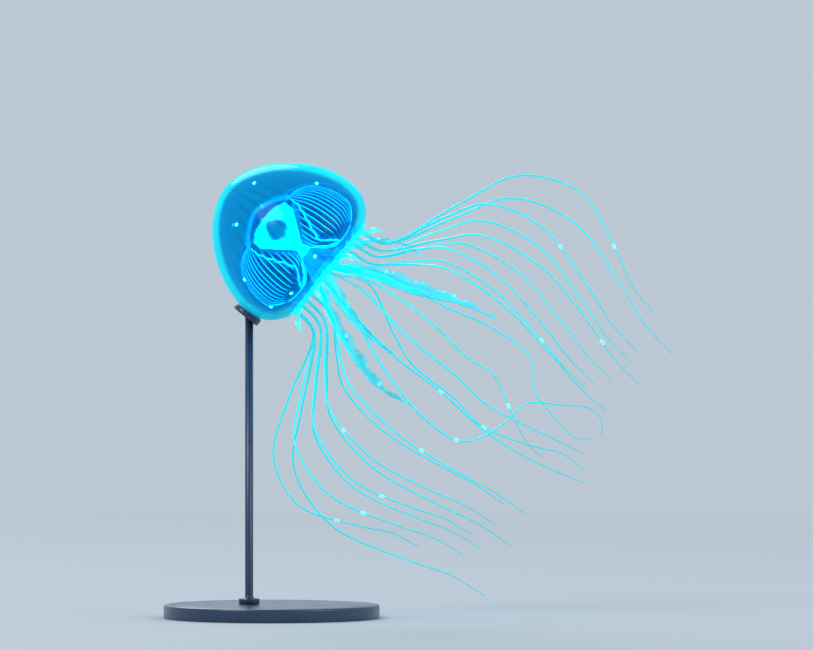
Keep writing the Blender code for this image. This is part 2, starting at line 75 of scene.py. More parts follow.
# ---- stomach ----
DOME_RADIUS = 24 * MM
DOME_FOOT = 49 * MM
DOME_TOP = 64 * MM
DOME_POWER, DOME_ROOT = 1.5, 0.7

# ---- gonads ----
GONAD_AZIMUTHS = [-45 + 90 * quarter for quarter in range(4)]
GONAD_HALF_WIDTHS = (32, 27)  # degrees to each side of its middle, at its top and its foot
GONAD_BULGE = 11  # degrees more, half way down
GONAD_SLANT = 0.63  # share of its arc that is missing at its inner side
GONAD_SLANT_POWER = 0.7
GONAD_DRAW_IN = 0.3  # how far that side is drawn in, as a share of its radius
GONAD_DRAW_START = 0.55  # from this share of the way across to it
GONAD_DRAW_LENGTH = 0.4  # over this share of the arc, up from its foot
GONAD_CENTRE = (24 * MM, 20 * MM)  # radius and height of the centre of its arc
GONAD_REACH = 18 * MM
GONAD_RISE = 31 * MM
GONAD_HANG = 15 * MM
GONAD_SWEEP = 155  # degrees of its arc, from the top, down its middle
GONAD_CORNER = 25  # degrees less at its sides, which rounds its hem
GONAD_PLEAT_DEPTH = 1.9 * MM
GONAD_FLAT = 0.5  # share of the arc over which the pleats grow
GONAD_HEM = 0.3  # share of the arc over which they shrink again
GONAD_HEM_CALM = 0.8  # and by how much

# ---- oral arms ----
ARM_ROOT = (5 * MM, 23 * MM)  # radius and height, just inside the stomach's mouth
ARM_ROOT_SHARE = 0.5  # width at the root, as a share of the widest
ARM_TIP_SHARE = 0.15
ARM_TURN = 22.5  # degrees that every arm turns just below the mouth
ARM_TURN_SHARE = 0.25  # share of the arm over which it does
FRILL_START = 0.2  # share of the arm over which the frill grows
# Azimuth at the root, further turn to the tip, width in mm, where along the arm it is widest, where
# across it the keel lies (-1 to 1), and (radius, drop) handles in mm.
ARMS = [
    {"azimuth": 0, "drift": 2, "width": 11, "widest": 0.35, "keel": 0.0,
     "handles": [(6, -12), (19, -1), (31, 5), (42, 14), (50, 28), (52, 42)]},
    {"azimuth": 90, "drift": 3, "width": 10, "widest": 0.35, "keel": 0.1,
     "handles": [(6, -12), (12, 2), (24, 16), (36, 34), (40, 52), (38, 68)]},
    {"azimuth": 180, "drift": 4, "width": 14, "widest": 0.6, "keel": -0.4,
     "handles": [(6, -12), (14, 4), (24, 21), (35, 45), (43, 76), (39, 100)]},
    {"azimuth": 270, "drift": 32, "width": 16, "widest": 0.6, "keel": -0.5,
     "handles": [(6, -12), (17, 3), (34, 25), (41, 51), (50, 80), (55, 106)]},
]

# ---- tentacles ----
TENTACLE_ROOT_RADIUS = 34.75 * MM
TENTACLE_START = 2 * MM  # they leave the rim straight, this far
TENTACLE_THICK = 0.95 * MM  # radius near the root
TENTACLE_SWELL = 1.25 * MM  # radius at the root
TENTACLE_THIN = 0.42 * MM  # radius at the tip
SWELL_SHARE = 0.08  # share of its length that is swollen
THIN_POWER = 0.8
TIP_REACH = 0.785  # reach of a fan tentacle's tip, as a share of its crest's reach
NECK = (4 * MM, 18 * MM)  # flare and drop of the neck, where a fan tentacle turns out
NECK_TURN = 0.1  # share of its turn that it makes by the neck
FAN_ARCH = [(0.48, 0.40), (0.85, 0.60), (1.0, 1.0)]  # shares of the crest's reach and drop
FAN_FALL = [0.5, 0.75, 1.0]  # shares of the way from the crest to the tip
# Azimuth at the rim, azimuth at the crest, reach of the crest, drop of the crest, drop of the tip (mm).
UPPER_FAN = [
    (0, 0, 146, 98, 186),
    (11.25, 17, 135, 107, 216),
    (-11.25, -28, 125, 92, 193),
    (33.75, 38, 130, 98, 199),
    (-33.75, -44.5, 125, 110, 207),
    (45, 50, 125, 100, 196),
    (-45, -56.5, 120, 94, 183),
    (56.25, 59.5, 120, 97, 187),
    (-56.25, -63, 119, 104, 200),
]
LOWER_FAN = [
    (180, 180, 134, 82, 163),
    (168.75, 163, 138, 108, 219),
    (191.25, 207, 128, 94, 189),
    (146.25, 143, 130, 104, 198),
    (213.75, 221.5, 128, 101, 183),
    (135, 132, 128, 105, 213),
    (225, 232, 125, 100, 191),
    (123.75, 121, 120, 96, 192),
    (236.25, 243, 119, 103, 203),
]
# Azimuth at the rim, bow toward or away from the viewer (mm), and (across, drop) handles in mm.
TRAILING = [
    (78.75, 88, [(22, 30), (30, 72), (40, 112), (40, 143), (24, 160), (19, 180), (17, 200), (25, 211)]),
    (281.25, 78, [(14, 38), (16, 74), (13, 108), (15, 127), (2, 155), (-6, 174), (-7, 187)]),
    (90, 104, [(10, 24), (-6, 61), (-14, 84), (-14, 122), (-17, 145), (-6, 181), (3, 200), (4, 221)]),
    (270, 98, [(4, 24), (-1, 70), (-1, 113), (-3, 134), (4, 171), (12, 206)]),
    (101.25, 72, [(-12, 29), (-17, 69), (-16, 109), (-18, 148), (-13, 188), (-2, 226)]),
    (258.75, 58, [(-12, 29), (-28, 72), (-36, 115), (-31, 141), (-8, 153), (14, 157), (28, 176),
                  (38, 192), (36, 203), (28, 209)]),
]
CREST_SHARE = 0.45  # where a trailing tentacle bows out most
TRAILING_DRAW_IN = 0.2  # how much of its bow is lost by the tip

# ---- clubs ----
CLUB_AZIMUTHS = [22.5 + 45 * octant for octant in range(8)]
CLUB_HANDLES = [(0, -2), (0, 1), (3.5, 3.2), (8, 5.5), (12, 11)]  # (out from its root, drop) in mm
CLUB_RADII = [1.15, 1.1, 0.95, 0.9, 0.6]  # evenly spaced along it, in mm
CLUB_SPACING = 0.4 * MM

# ---- stand ----
BASE_RADIUS = 72 * MM
BASE_THICKNESS = 9 * MM
BASE_BEVEL = 1.5 * MM
BASE_FOOT_ROUND = 0.6 * MM
BASE_TOP = [(0.5, 0), (6, 0), (20, 0), (40, 0), (60, 0), (64, 0), (65, 0), (65.25, -0.35),
            (65.9, -0.35), (66.15, 0), (67.5, 0)]  # radius and height in mm, with its groove
BASE_UNDERSIDE = (66, 30, 0.5)  # radii in mm
POLE = 0.3 * MM  # radius of the smallest ring round the rod's axis
ROD_X = -15 * MM
ROD_RADIUS = 2.75 * MM
ROD_SHORT = 2 * MM  # how far below the bell it ends, inside the cradle
COLLAR_RADIUS = 7 * MM
COLLAR_HEIGHT = 3.8 * MM
COLLAR_FILLET = 2 * MM
COLLAR_ROUND = 0.8 * MM
COLLAR_CHAMFER = 0.4 * MM
PAD_RADIUS = 10 * MM
PAD_ROUND = 0.5 * MM
PAD_MIDDLE = 0.4 * MM  # radius of the cradle's smallest ring
PAD_SIDES = 72
PAD_HEIGHT = 4 * MM  # of the cradle's underside from the bell
PAD_SEARCH = 12 * MM  # how far from that underside the bell is looked for
LINER_SETTING = 0.7 * MM  # how far the dish stands back for its liner
LINER_THICKNESS = 0.65 * MM

# ---- finer detail, which only the looks have ----
BELL_COLUMNS = 384
LAPPETS = 32  # one between each two tentacles or clubs
LAPPET_DROP = 0.5 * MM
LAPPET_RISE = 6 * MM  # how far up the bell the lappets' grooves run
LAPPET_GROOVE = 0.35 * MM
LAPPET_INSIDE = 0.6  # how much of a lappet shows inside the rim
LAPPET_POWER = 0.7
MARGIN_SOLID = 0.5 * MM  # height up to which the rim is solid cyan, with a painted glow
MARGIN_FADE = 2 * MM  # and the stretch over which that fades
RIM_ROUND = 0.8 * MM  # how far the rim's edge is rounded below the mouth's level
SKIN_LAYER = 1.9 * MM  # thickness of the bell's outer layer of firm jelly
WALL_LAYER = 0.9 * MM  # and of the layer that lines its hollow
LAYERS_FOOT = 5 * MM  # height at which the two layers part
ROOF_START = 29 * MM  # radius at which the hollow's wall turns up to the stomach's dome
TUBE_SPACING = 0.7 * MM  # between a tentacle's rings
CLUB_SIDES = 16
TUBE_SIDES = 10
BEAD_SIDES, BEAD_RINGS = 14, 8
FLARE = 1.5 * MM  # how much a tentacle's root widens where it joins the rim
FLARE_LENGTH = 1.7 * MM
TENTACLE_TIP = (3 * MM, 0.2)  # length of the rounded tip, and the least share of the radius
CLUB_TIP = (2.5 * MM, 0.12)
TENTACLE_FLARE_START, CLUB_FLARE_START = 1 * MM, 2 * MM
BATTERY_SPACING = 2.1 * MM  # between the swollen bands of stinging cells
BATTERY_SWELL = 0.05
PLEATS = 15
PLEAT_POWER = 0.75  # below 1, the pleats crowd together toward a lobe's inner side
LOBE_SHEET = 0.3 * MM  # half the thickness of a lobe's sheet
LINE_LIFT = 0.2 * MM  # how far a bright line stands off it
LONG_LINES = 10  # pleats whose bright line runs most of the way down the lobe
LONG_LINE = 0.23 * MM  # radius of such a line
SHORT_LINE = 0.2 * MM
RIDGE = 0.8 * MM  # radii of the winding ridge and the hems
HEM = 0.52 * MM
INNER_HEM = 0.28 * MM
# (across, down) handles of the ridge and the hems, as shares of a lobe.
RIDGE_ROUTE = [(0.56, 0.02), (0.70, 0.14), (0.80, 0.30), (0.82, 0.52), (0.76, 0.78), (0.64, 0.99)]
HEM_ROUTE = [(0.0, 0.5), (0.0, 0.85), (0.06, 1.0), (0.35, 1.0), (0.62, 1.0), (0.85, 1.0), (0.98, 0.95),
             (1.0, 0.8), (1.0, 0.5), (1.0, 0.2), (0.98, 0.0)]
INNER_HEM_ROUTE = [(0.68, 0.93), (0.85, 0.91), (0.93, 0.82), (0.95, 0.6), (0.95, 0.2)]
LID_THICKNESS = 1.1 * MM  # of the clear dome that roofs the stomach
# The stomach inside it, from its top to its mouth tube, and the tube's lip: (radius, height) in mm.
STOMACH_HANDLES = [(0, 55.6), (8, 54.9), (14.5, 52.4), (18.8, 49.2), (20.3, 45.5), (18.8, 41), (14.5, 36),
                   (10.6, 31), (8.4, 26), (7.7, 22), (8.4, 19.6)]
MOUTH_LIP = [(7.6, 18.9), (5.8, 19.6), (5.0, 23), (2.5, 27)]
STOMACH_RIBS, RIB_DEPTH = 24, 0.35 * MM
RIB_FOOT, RIB_RISE = 26 * MM, 14 * MM  # where the ribs start, and the height over which they grow
STOMACH_LOBES, LOBE_DEPTH = 4, 1 * MM
STOMACH_CALM = 12 * MM  # radius inside which ribs and lobes fade
WINDOW_FOOT = 37 * MM  # where the stomach's dark windows start, their height and half width
WINDOW_RISE = 15 * MM
WINDOW_WIDTH = 8 * MM
WINDOW_RADIUS = 18 * MM  # radius at which that width is measured
ARM_SPACING = 0.5 * MM
ARM_COLUMNS = 81
ARM_PHASE = 1.7  # radians between one arm's waves and the next arm's
LONG_WAVE, SHORT_WAVE = 17 * MM, 5 * MM  # of the frill
LONG_LIFT, SHORT_LIFT = 1.1 * MM, 0.35 * MM
KEEL_THICKNESS = (2.6 * MM, 0.4 * MM)  # at the root and toward the tip
VEIL_THICKNESS = 0.28 * MM  # half of it

# Glowing spots: (azimuth, height in mm) on the bell and on the stomach's dome.
BELL_SPOTS = [(-63, 74.5), (-40, 42), (-112, 66), (-138, 39), (-123, 9), (-144, 14), (-88, 12),
              (20, 60), (75, 48), (118, 70), (150, 30), (55, 22), (98, 15)]
DOME_SPOTS = [(-12, 53), (-58, 61), (95, 56), (170, 54)]
# Glowing beads: (tentacle, share of its length).
TENTACLE_SPOTS = [(1, 0.8), (3, 0.65), (5, 0.85), (8, 0.8), (11, 0.8), (12, 0.7), (14, 0.5),
                  (15, 0.55), (16, 0.75), (18, 0.7), (20, 0.72), (22, 0.5), (24, 0.66)]
# And on the oral arms: (arm, share of its length, place across it from -1 to 1).
ARM_SPOTS = [(0, 0.72, 0.5), (1, 0.55, -0.3), (2, 0.5, 0.5), (2, 0.8, 0.4), (3, 0.45, 0.5), (3, 0.78, 0.6)]
# Their radii, how far a spot on the bell is sunk in, and how much each kind is drawn out or flattened.
BELL_SPOT, SPOT_SINK, BELL_SPOT_SQUASH = 1.35 * MM, 0.3 * MM, 0.55
DOME_SPOT, ARM_SPOT = 1.5 * MM, 1.2 * MM
TENTACLE_BEAD, TENTACLE_BEAD_STRETCH = 0.95 * MM, 2.4
CLUB_BEAD, CLUB_BEAD_STRETCH = 1.3 * MM, 1.5
CLUB_BEAD_SHARE = 0.7  # where a club's bead sits, as a share of its length


def mix(start, end, share):
    """The number this share of the way from start to end."""
    return start + (end - start) * share


def ease(share):
    """A smooth step from 0 to 1, of a number or an array."""
    share = np.clip(share, 0.0, 1.0)
    return share * share * (3 - 2 * share)


def polar(radius, azimuth, height):
    """A point of the animal's frame from its radius, azimuth in radians and height."""
    return Vector((radius * math.cos(azimuth), radius * math.sin(azimuth), height))


def curve_through(handles, steps=40):
    """Points of a smooth curve through the handles: Catmull-Rom, with centripetal spacing."""
    spans = [math.sqrt((end - start).length) for start, end in zip(handles, handles[1:])]
    rates = [(end - start) / span for start, end, span in zip(handles, handles[1:], spans)]
    slopes = [rates[0]]
    for i in range(len(spans) - 1):
        weighted = rates[i] * spans[i + 1] + rates[i + 1] * spans[i]
        slopes.append(weighted / (spans[i] + spans[i + 1]))
    slopes.append(rates[-1])
    points = [handles[0]]
    for i, span in enumerate(spans):
        start, end = handles[i], handles[i + 1]
        knob = start + slopes[i] * span / 3
        far_knob = end - slopes[i + 1] * span / 3
        points += interpolate_bezier(start, knob, far_knob, end, steps)[1:]
    return points


def evenly(points, spacing):
    """The curve through the points again, as an array of evenly spaced ones."""
    points = np.array(points, float)
    reach = np.concatenate([[0.0], np.cumsum(np.linalg.norm(np.diff(points, axis=0), axis=1))])
    marks = np.linspace(0.0, reach[-1], max(int(reach[-1] / spacing), 4) + 1)
    return np.stack([np.interp(marks, reach, points[:, axis]) for axis in range(3)], axis=1)


def unit(vectors):
    """The vectors at length 1."""
    return vectors / np.maximum(np.linalg.norm(vectors, axis=-1, keepdims=True), 1e-12)


def around(turns):
    """Level vectors of length 1 that point out from the axis at these angles."""
    return np.stack([np.cos(turns), np.sin(turns), 0 * turns], axis=-1)


def ring(side, up, sides):
    """Vectors of length 1 round a circle, from side toward up."""
    turns = np.linspace(0.0, 2 * math.pi, sides, endpoint=False)
    return np.cos(turns)[:, None] * side + np.sin(turns)[:, None] * up


def arc(radius, height, across, up, start, end, steps):
    """Part of an ellipse round (radius, height) as a profile, from start to end in quarter turns."""
    angles = np.linspace(start, end, steps) * math.pi / 2
    return [(radius + across * math.cos(angle), height + up * math.sin(angle)) for angle in angles]


def flat_curve(handles, steps):
    """The curve through flat handles, as an array of (first, second)."""
    return np.array(curve_through([Vector((first, second, 0)) for first, second in handles], steps))[:, :2]


class Maker:
    """Joins grids of points into one mesh, with a material and painted values on each grid."""

    def __init__(self, *layers):
        self.points = []
        self.faces = []
        self.slots = []
        self.layers = {layer: [] for layer in layers}
        self.count = 0

    def add_points(self, points, values):
        """Keep these points and their painted values, and return the number of the first."""
        first = self.count
        points = np.asarray(points, float).reshape(-1, 3)
        self.points.append(points)
        for layer, kept in self.layers.items():
            value = np.broadcast_to(values.get(layer, 0.0), (len(points),))
            kept.append(np.asarray(value, float))
        self.count += len(points)
        return first

    def grid(self, rows, slot=0, flip=False, start_pole=True, end_pole=True, **values):
        """Faces between rows of points that each run round and close on themselves."""
        count, across = rows.shape[:2]
        values = {key: np.broadcast_to(value, (count, across)).ravel() for key, value in values.items()}
        first = self.add_points(rows, values)
        index = first + np.arange(count * across).reshape(count, across)
        beside = np.roll(index, -1, axis=1)
        quads = np.stack([index[:-1], index[1:], beside[1:], beside[:-1]], axis=-1).reshape(-1, 4)
        faces = quads.tolist()
        if start_pole:
            pole = self.add_points(rows[0].mean(axis=0), {k: v[:across].mean() for k, v in values.items()})
            faces += [[pole, a, b] for a, b in zip(index[0].tolist(), beside[0].tolist())]
        if end_pole:
            pole = self.add_points(rows[-1].mean(axis=0), {k: v[-across:].mean() for k, v in values.items()})
            faces += [[pole, b, a] for a, b in zip(index[-1].tolist(), beside[-1].tolist())]
        if flip:
            faces = [face[::-1] for face in faces]
        self.faces += faces
        self.slots += [slot] * len(faces)

    def build(self, name, materials, pose=None):
        """The piece itself, with its mesh set in the pose."""
        mesh = bpy.data.meshes.new(name)
        mesh.from_pydata(np.concatenate(self.points).tolist(), [], self.faces)
        mesh.polygons.foreach_set("material_index", self.slots)
        for layer, kept in self.layers.items():
            attribute = mesh.attributes.new(layer, "FLOAT", "POINT")
            attribute.data.foreach_set("value", np.concatenate(kept).astype(np.float32))
        for material in materials:
            mesh.materials.append(material)
        mesh.shade_smooth()
        if pose:
            mesh.transform(pose)
        piece = bpy.data.objects.new(name, mesh)
        bpy.context.scene.collection.objects.link(piece)
        return piece


def add_tube(maker, points, radii, slot=0, sides=TUBE_SIDES, **values):
    """A round tube through the points, closed at both ends."""
    ahead = unit(np.gradient(points, axis=0))
    side = np.cross(ahead[0], (0.31, 0.52, 0.79))
    sides_out = []
    for direction in ahead:
        side = side - direction * side.dot(direction)
        side = side / np.linalg.norm(side)
        sides_out.append(side)
    out = np.array(sides_out)
    up = np.cross(ahead, out)
    rows = points[:, None] + radii[:, None, None] * ring(out[:, None], up[:, None], sides)
    columns = {key: np.asarray(value)[:, None] if np.ndim(value) else value for key, value in values.items()}
    maker.grid(rows, slot, flip=True, **columns)


def add_leaf(maker, sheet, half, **values):
    """A sheet of points (down, across) made solid, half the thickness to each side of it."""
    down, across = np.gradient(sheet, axis=0), np.gradient(sheet, axis=1)
    normal = unit(np.cross(down, across))
    front, back = sheet + normal * half[..., None], sheet - normal * half[..., None]
    rows = np.concatenate([front, back[:, ::-1]], axis=1)
    both = {key: np.concatenate([value, value[:, ::-1]], axis=1) for key, value in values.items()}
    maker.grid(rows, **both)


def add_bead(maker, centre, radius, stretch=1.0, axis=(0, 0, 1)):
    """A round bead, drawn out along its axis by stretch, or flattened where that is below 1."""
    axis = unit(np.asarray(axis, float))
    side = unit(np.cross(axis, (0.37, 0.61, 0.70)))
    level = ring(side, np.cross(axis, side), BEAD_SIDES)
    tilts = math.pi * np.arange(1, BEAD_RINGS) / BEAD_RINGS
    rows = [math.sin(tilt) * level + math.cos(tilt) * stretch * axis for tilt in tilts]
    maker.grid(np.asarray(centre) + radius * np.array(rows))


# ---- materials ----

class Look:
    """A Principled material, with short ways to add the nodes that its detail is made of."""

    def __init__(self, name, sockets, of_animal=True):
        self.material = bpy.data.materials.new(name)
        self.material.use_nodes = True
        self.tree = self.material.node_tree
        self.shader = self.tree.nodes["Principled BSDF"]
        self.output = self.tree.nodes["Material Output"]
        for socket, value in sockets.items():
            self.shader.inputs[socket].default_value = value
        self.place = self.tree.nodes.new("ShaderNodeTexCoord").outputs["Object"]
        if of_animal:
            inputs = {"Vector": self.place, "Location": MOUTH_CENTRE, "Rotation": (0.0, LEAN, 0.0)}
            self.place = self.node("ShaderNodeMapping", {"vector_type": "TEXTURE"}, inputs).outputs[0]

    def node(self, kind, settings=None, inputs=None):
        """A node with these settings, and numbers or links on its inputs."""
        made = self.tree.nodes.new(kind)
        for key, value in (settings or {}).items():
            setattr(made, key, value)
        for key, value in (inputs or {}).items():
            if isinstance(value, bpy.types.NodeSocket):
                self.tree.links.new(value, made.inputs[key])
            else:
                made.inputs[key].default_value = value
        return made

    def math(self, operation, first, second=0.0):
        """The result of a Math node."""
        return self.node("ShaderNodeMath", {"operation": operation}, {0: first, 1: second}).outputs[0]

    def noise(self, scale, detail=3.0, roughness=0.55, distortion=0.0):
        """Noise over the piece's own coordinates; the scale is in cycles a metre."""
        inputs = {"Vector": self.place, "Scale": scale, "Detail": detail, "Roughness": roughness,
                  "Distortion": distortion}
        return self.node("ShaderNodeTexNoise", inputs=inputs).outputs["Fac"]

    def layer(self, name):
        """A value painted on the mesh."""
        return self.node("ShaderNodeAttribute", {"attribute_name": name}).outputs["Fac"]

    def stretch(self, value, low, high, new_low, new_high):
        """The value moved from one range to another, smoothly and clamped."""
        settings = {"interpolation_type": "SMOOTHSTEP"}
        inputs = {"Value": value, "From Min": low, "From Max": high, "To Min": new_low, "To Max": new_high}
        return self.node("ShaderNodeMapRange", settings, inputs).outputs["Result"]

    def blend(self, share, first, second):
        """A mix of two colours."""
        inputs = {0: share, 6: first, 7: second}
        return self.node("ShaderNodeMix", {"data_type": "RGBA"}, inputs).outputs[2]

    def bump(self, height, distance, strength=1.0):
        """Fine relief from the height, of this depth in metres."""
        inputs = {"Height": height, "Distance": distance, "Strength": strength}
        self.join(self.node("ShaderNodeBump", inputs=inputs).outputs["Normal"], "Normal")

    def join(self, source, socket):
        """Feed one of the shader's sockets."""
        self.tree.links.new(source, self.shader.inputs[socket])

    def edge_on(self, low, high):
        """0 where a glassy surface is seen face on, and 1 where it is seen edge on."""
        weight = self.node("ShaderNodeLayerWeight", None, {"Blend": 0.5})
        return self.stretch(weight.outputs["Facing"], low, high, 0.0, 1.0)

    def radial(self, count):
        """0 to 1 and back, count times round the animal's axis."""
        parts = self.node("ShaderNodeSeparateXYZ", inputs={0: self.place}).outputs
        turn = self.math("ARCTAN2", parts[1], parts[0])
        return self.math("ABSOLUTE", self.math("SINE", self.math("MULTIPLY", turn, count / 2)))

    def fill(self, colour, density, glow=None, strength=0.0):
        """Coloured jelly inside the surface, which may glow."""
        inside = self.node("ShaderNodeVolumeAbsorption", inputs={"Color": colour, "Density": density})
        source = inside.outputs[0]
        if glow:
            light = self.node("ShaderNodeEmission", inputs={"Color": glow, "Strength": strength})
            source = self.node("ShaderNodeAddShader", inputs={0: source, 1: light.outputs[0]}).outputs[0]
        self.tree.links.new(source, self.output.inputs["Volume"])


WET = {"Roughness": 0.3, "IOR": 1.36, "Coat Weight": 0.4, "Coat Roughness": 0.12}


def jelly_look():
    """The bell's jelly: clear and blue, but solid cyan at the rim and where it is seen edge on. The rim and
    the jelly inside also give off a painted cyan glow.
    """
    look = Look("jelly", {
        "Base Color": (0.02, 0.85, 0.95, 1.0), "Roughness": 0.05, "IOR": 1.02, "Transmission Weight": 1.0,
        "Coat Weight": 0.25, "Coat Roughness": 0.1, "Coat IOR": 1.34, "Sheen Weight": 0.8,
        "Sheen Roughness": 0.4, "Sheen Tint": (0.0, 1.0, 1.0, 1.0),
        "Emission Color": (0.0, 1.0, 1.0, 1.0), "Emission Strength": 0.0,
    })
    margin = look.layer("margin")
    inside = look.layer("inside")
    canal = look.math("POWER", look.radial(32), 14.0)
    cloud = look.stretch(look.noise(70.0, 3.0), 0.35, 0.7, 0.0, 0.4)
    clear = look.blend(inside, (0.0, 0.82, 0.98, 1.0), (0.55, 0.55, 0.83, 1.0))
    shaded = look.blend(inside, (0.0, 0.69, 0.90, 1.0), (0.42, 0.44, 0.75, 1.0))
    tint = look.blend(look.math("MAXIMUM", canal, cloud), clear, shaded)
    look.join(look.blend(margin, tint, (0.0, 0.86, 0.92, 1.0)), "Base Color")
    # Partly painted light: the cyan is the jelly's own colour lit by the lamps, but it turns opaque only
    # where seen edge on, which paints a bright outline in place of a glow.
    edge = look.math("MULTIPLY", look.edge_on(0.52, 0.66), look.stretch(inside, 0.0, 1.0, 0.9, 0.0))
    solid = look.math("MAXIMUM", edge, look.stretch(margin, 0.15, 0.85, 0.0, 1.0))
    look.join(look.math("SUBTRACT", 1.0, solid), "Transmission Weight")
    # Painted glow: the rim emits cyan light, which fades up the bell.
    look.join(look.stretch(margin, 0.1, 0.9, 0.0, 0.6), "Emission Strength")
    look.join(look.stretch(inside, 0.0, 1.0, 0.25, 0.0), "Coat Weight")
    relief = look.math("ADD", look.noise(420.0, 4.0), look.math("MULTIPLY", canal, 0.5))
    look.bump(relief, 0.12 * MM, 0.5)
    # Painted glow: the jelly inside emits cyan light, brightest along the outline, where the path through it
    # is longest.
    look.fill((0.0, 0.4, 0.87, 1.0), 150.0, (0.0, 1.0, 1.0, 1.0), 30.0)
    return look.material


def thread_look():
    """A tentacle: turquoise, banded with stinging cells, and fading at its root and its tip. It gives off a
    painted cyan glow, strongest in its middle.
    """
    look = Look("thread", {
        **WET, "Base Color": (0.0, 0.62, 0.68, 1.0), "Roughness": 0.28,
        "Emission Color": (0.0, 0.80, 0.85, 1.0), "Emission Strength": 0.25,
    })
    along = look.layer("along")
    band = look.layer("band")
    middle = look.math("MULTIPLY", look.stretch(along, 0.02, 0.3, 0.6, 1.0),
                       look.stretch(along, 0.7, 1.0, 1.0, 0.5))
    mottled = look.math("MULTIPLY", middle, look.stretch(look.noise(260.0), 0.3, 0.7, 0.75, 1.1))
    dim, bright = (0.0, 0.50, 0.57, 1.0), (0.01, 0.70, 0.74, 1.0)
    colour = look.blend(mottled, dim, bright)
    look.join(look.blend(look.math("MULTIPLY", band, 0.18), colour, (0.20, 0.90, 0.95, 1.0)), "Base Color")
    # Painted glow: the tentacle emits light, most in its middle.
    look.join(look.stretch(mottled, 0.0, 1.0, 0.10, 0.32), "Emission Strength")
    shown = look.math("MULTIPLY", look.stretch(along, 0.02, 0.24, 0.5, 1.0),
                      look.stretch(along, 0.75, 1.0, 1.0, 0.5))
    look.join(shown, "Alpha")
    look.bump(look.noise(1500.0), 0.05 * MM, 0.5)
    return look.material


def frill_look():
    """An oral arm: a thick glowing keel that fades down the arm, between thin streaked blades of veil."""
    look = Look("frill", {
        **WET, "Base Color": (0.0, 0.70, 0.78, 1.0), "Coat Weight": 0.2, "Coat Roughness": 0.15,
        "Emission Color": (0.0, 0.95, 1.0, 1.0), "Emission Strength": 0.3,
    })
    painted = look.layer("streak")
    streak = look.math("MULTIPLY", painted, look.stretch(look.noise(110.0), 0.3, 0.7, 0.15, 0.5))
    body = look.math("MAXIMUM", look.layer("keel"), streak)
    cloud = look.noise(90.0, 3.0)
    colour = look.blend(body, (0.0, 0.62, 0.74, 1.0), (0.0, 0.90, 0.94, 1.0))
    look.join(look.blend(look.math("MULTIPLY", cloud, 0.25), colour, (0.0, 0.78, 0.92, 1.0)), "Base Color")
    look.join(look.stretch(body, 0.0, 1.0, 0.16, 1.0), "Emission Strength")
    thin = look.stretch(look.layer("thin"), 0.0, 1.0, 0.66, 0.40)
    veil = look.math("ADD", thin, look.stretch(cloud, 0.35, 0.7, -0.06, 0.08))
    look.join(look.math("MAXIMUM", veil, look.stretch(body, 0.0, 0.6, 0.0, 1.0)), "Alpha")
    look.bump(look.noise(500.0), 0.1 * MM, 0.4)
    return look.material


def halo_look():
    """The stomach's outer dome: a thin clear layer, with a painted cyan rim glow where it is seen edge on
    and a faint painted glow inside.
    """
    look = Look("halo", {
        "Base Color": (0.55, 0.93, 1.0, 1.0), "Roughness": 0.05, "IOR": 1.02, "Transmission Weight": 1.0,
        "Emission Color": (0.0, 0.8, 0.9, 1.0), "Emission Strength": 0.0,
    })
    # Painted rim light: where the dome is seen edge on, its colour turns cyan and it glows.
    edge = look.edge_on(0.60, 0.80)
    look.join(look.blend(edge, (0.55, 0.90, 1.0, 1.0), (0.0, 0.85, 0.95, 1.0)), "Base Color")
    look.join(look.math("SUBTRACT", 1.0, look.math("MULTIPLY", edge, 0.6)), "Transmission Weight")
    look.join(look.math("MULTIPLY", edge, 1.5), "Emission Strength")
    look.bump(look.noise(500.0), 0.1 * MM, 0.5)
    # Painted glow: the dome's jelly emits faint cyan light.
    look.fill((0.0, 0.80, 1.0, 1.0), 25.0, (0.0, 0.9, 1.0, 1.0), 12.0)
    return look.material


def core_look():
    """The stomach itself: solid cyan with a strong painted glow, and darker, dimmer windows between the
    gonads.
    """
    look = Look("stomach_core", {
        **WET, "Base Color": (0.0, 0.9, 0.95, 1.0), "Coat Weight": 0.5,
        "Emission Color": (0.0, 1.0, 1.0, 1.0), "Emission Strength": 0.85,
    })
    window = look.layer("window")
    ragged = look.math("ADD", window, look.stretch(look.noise(120.0, 2.0), 0.3, 0.7, -0.14, 0.14))
    opening = look.stretch(ragged, 0.15, 0.70, 0.0, 1.0)
    folds = look.math("POWER", look.radial(48), 3.0)
    lit = look.blend(look.math("MULTIPLY", folds, 0.3), (0.0, 0.88, 0.93, 1.0), (0.45, 1.0, 1.0, 1.0))
    look.join(look.blend(opening, lit, (0.0, 0.45, 0.42, 1.0)), "Base Color")
    look.join(look.blend(opening, (0.0, 1.0, 1.0, 1.0), (0.0, 0.75, 0.62, 1.0)), "Emission Color")
    # Painted glow: the stomach emits bright cyan light, less in its windows.
    look.join(look.stretch(opening, 0.0, 1.0, 6.0, 0.9), "Emission Strength")
    look.bump(look.math("ADD", folds, look.noise(380.0)), 0.3 * MM, 0.6)
    return look.material


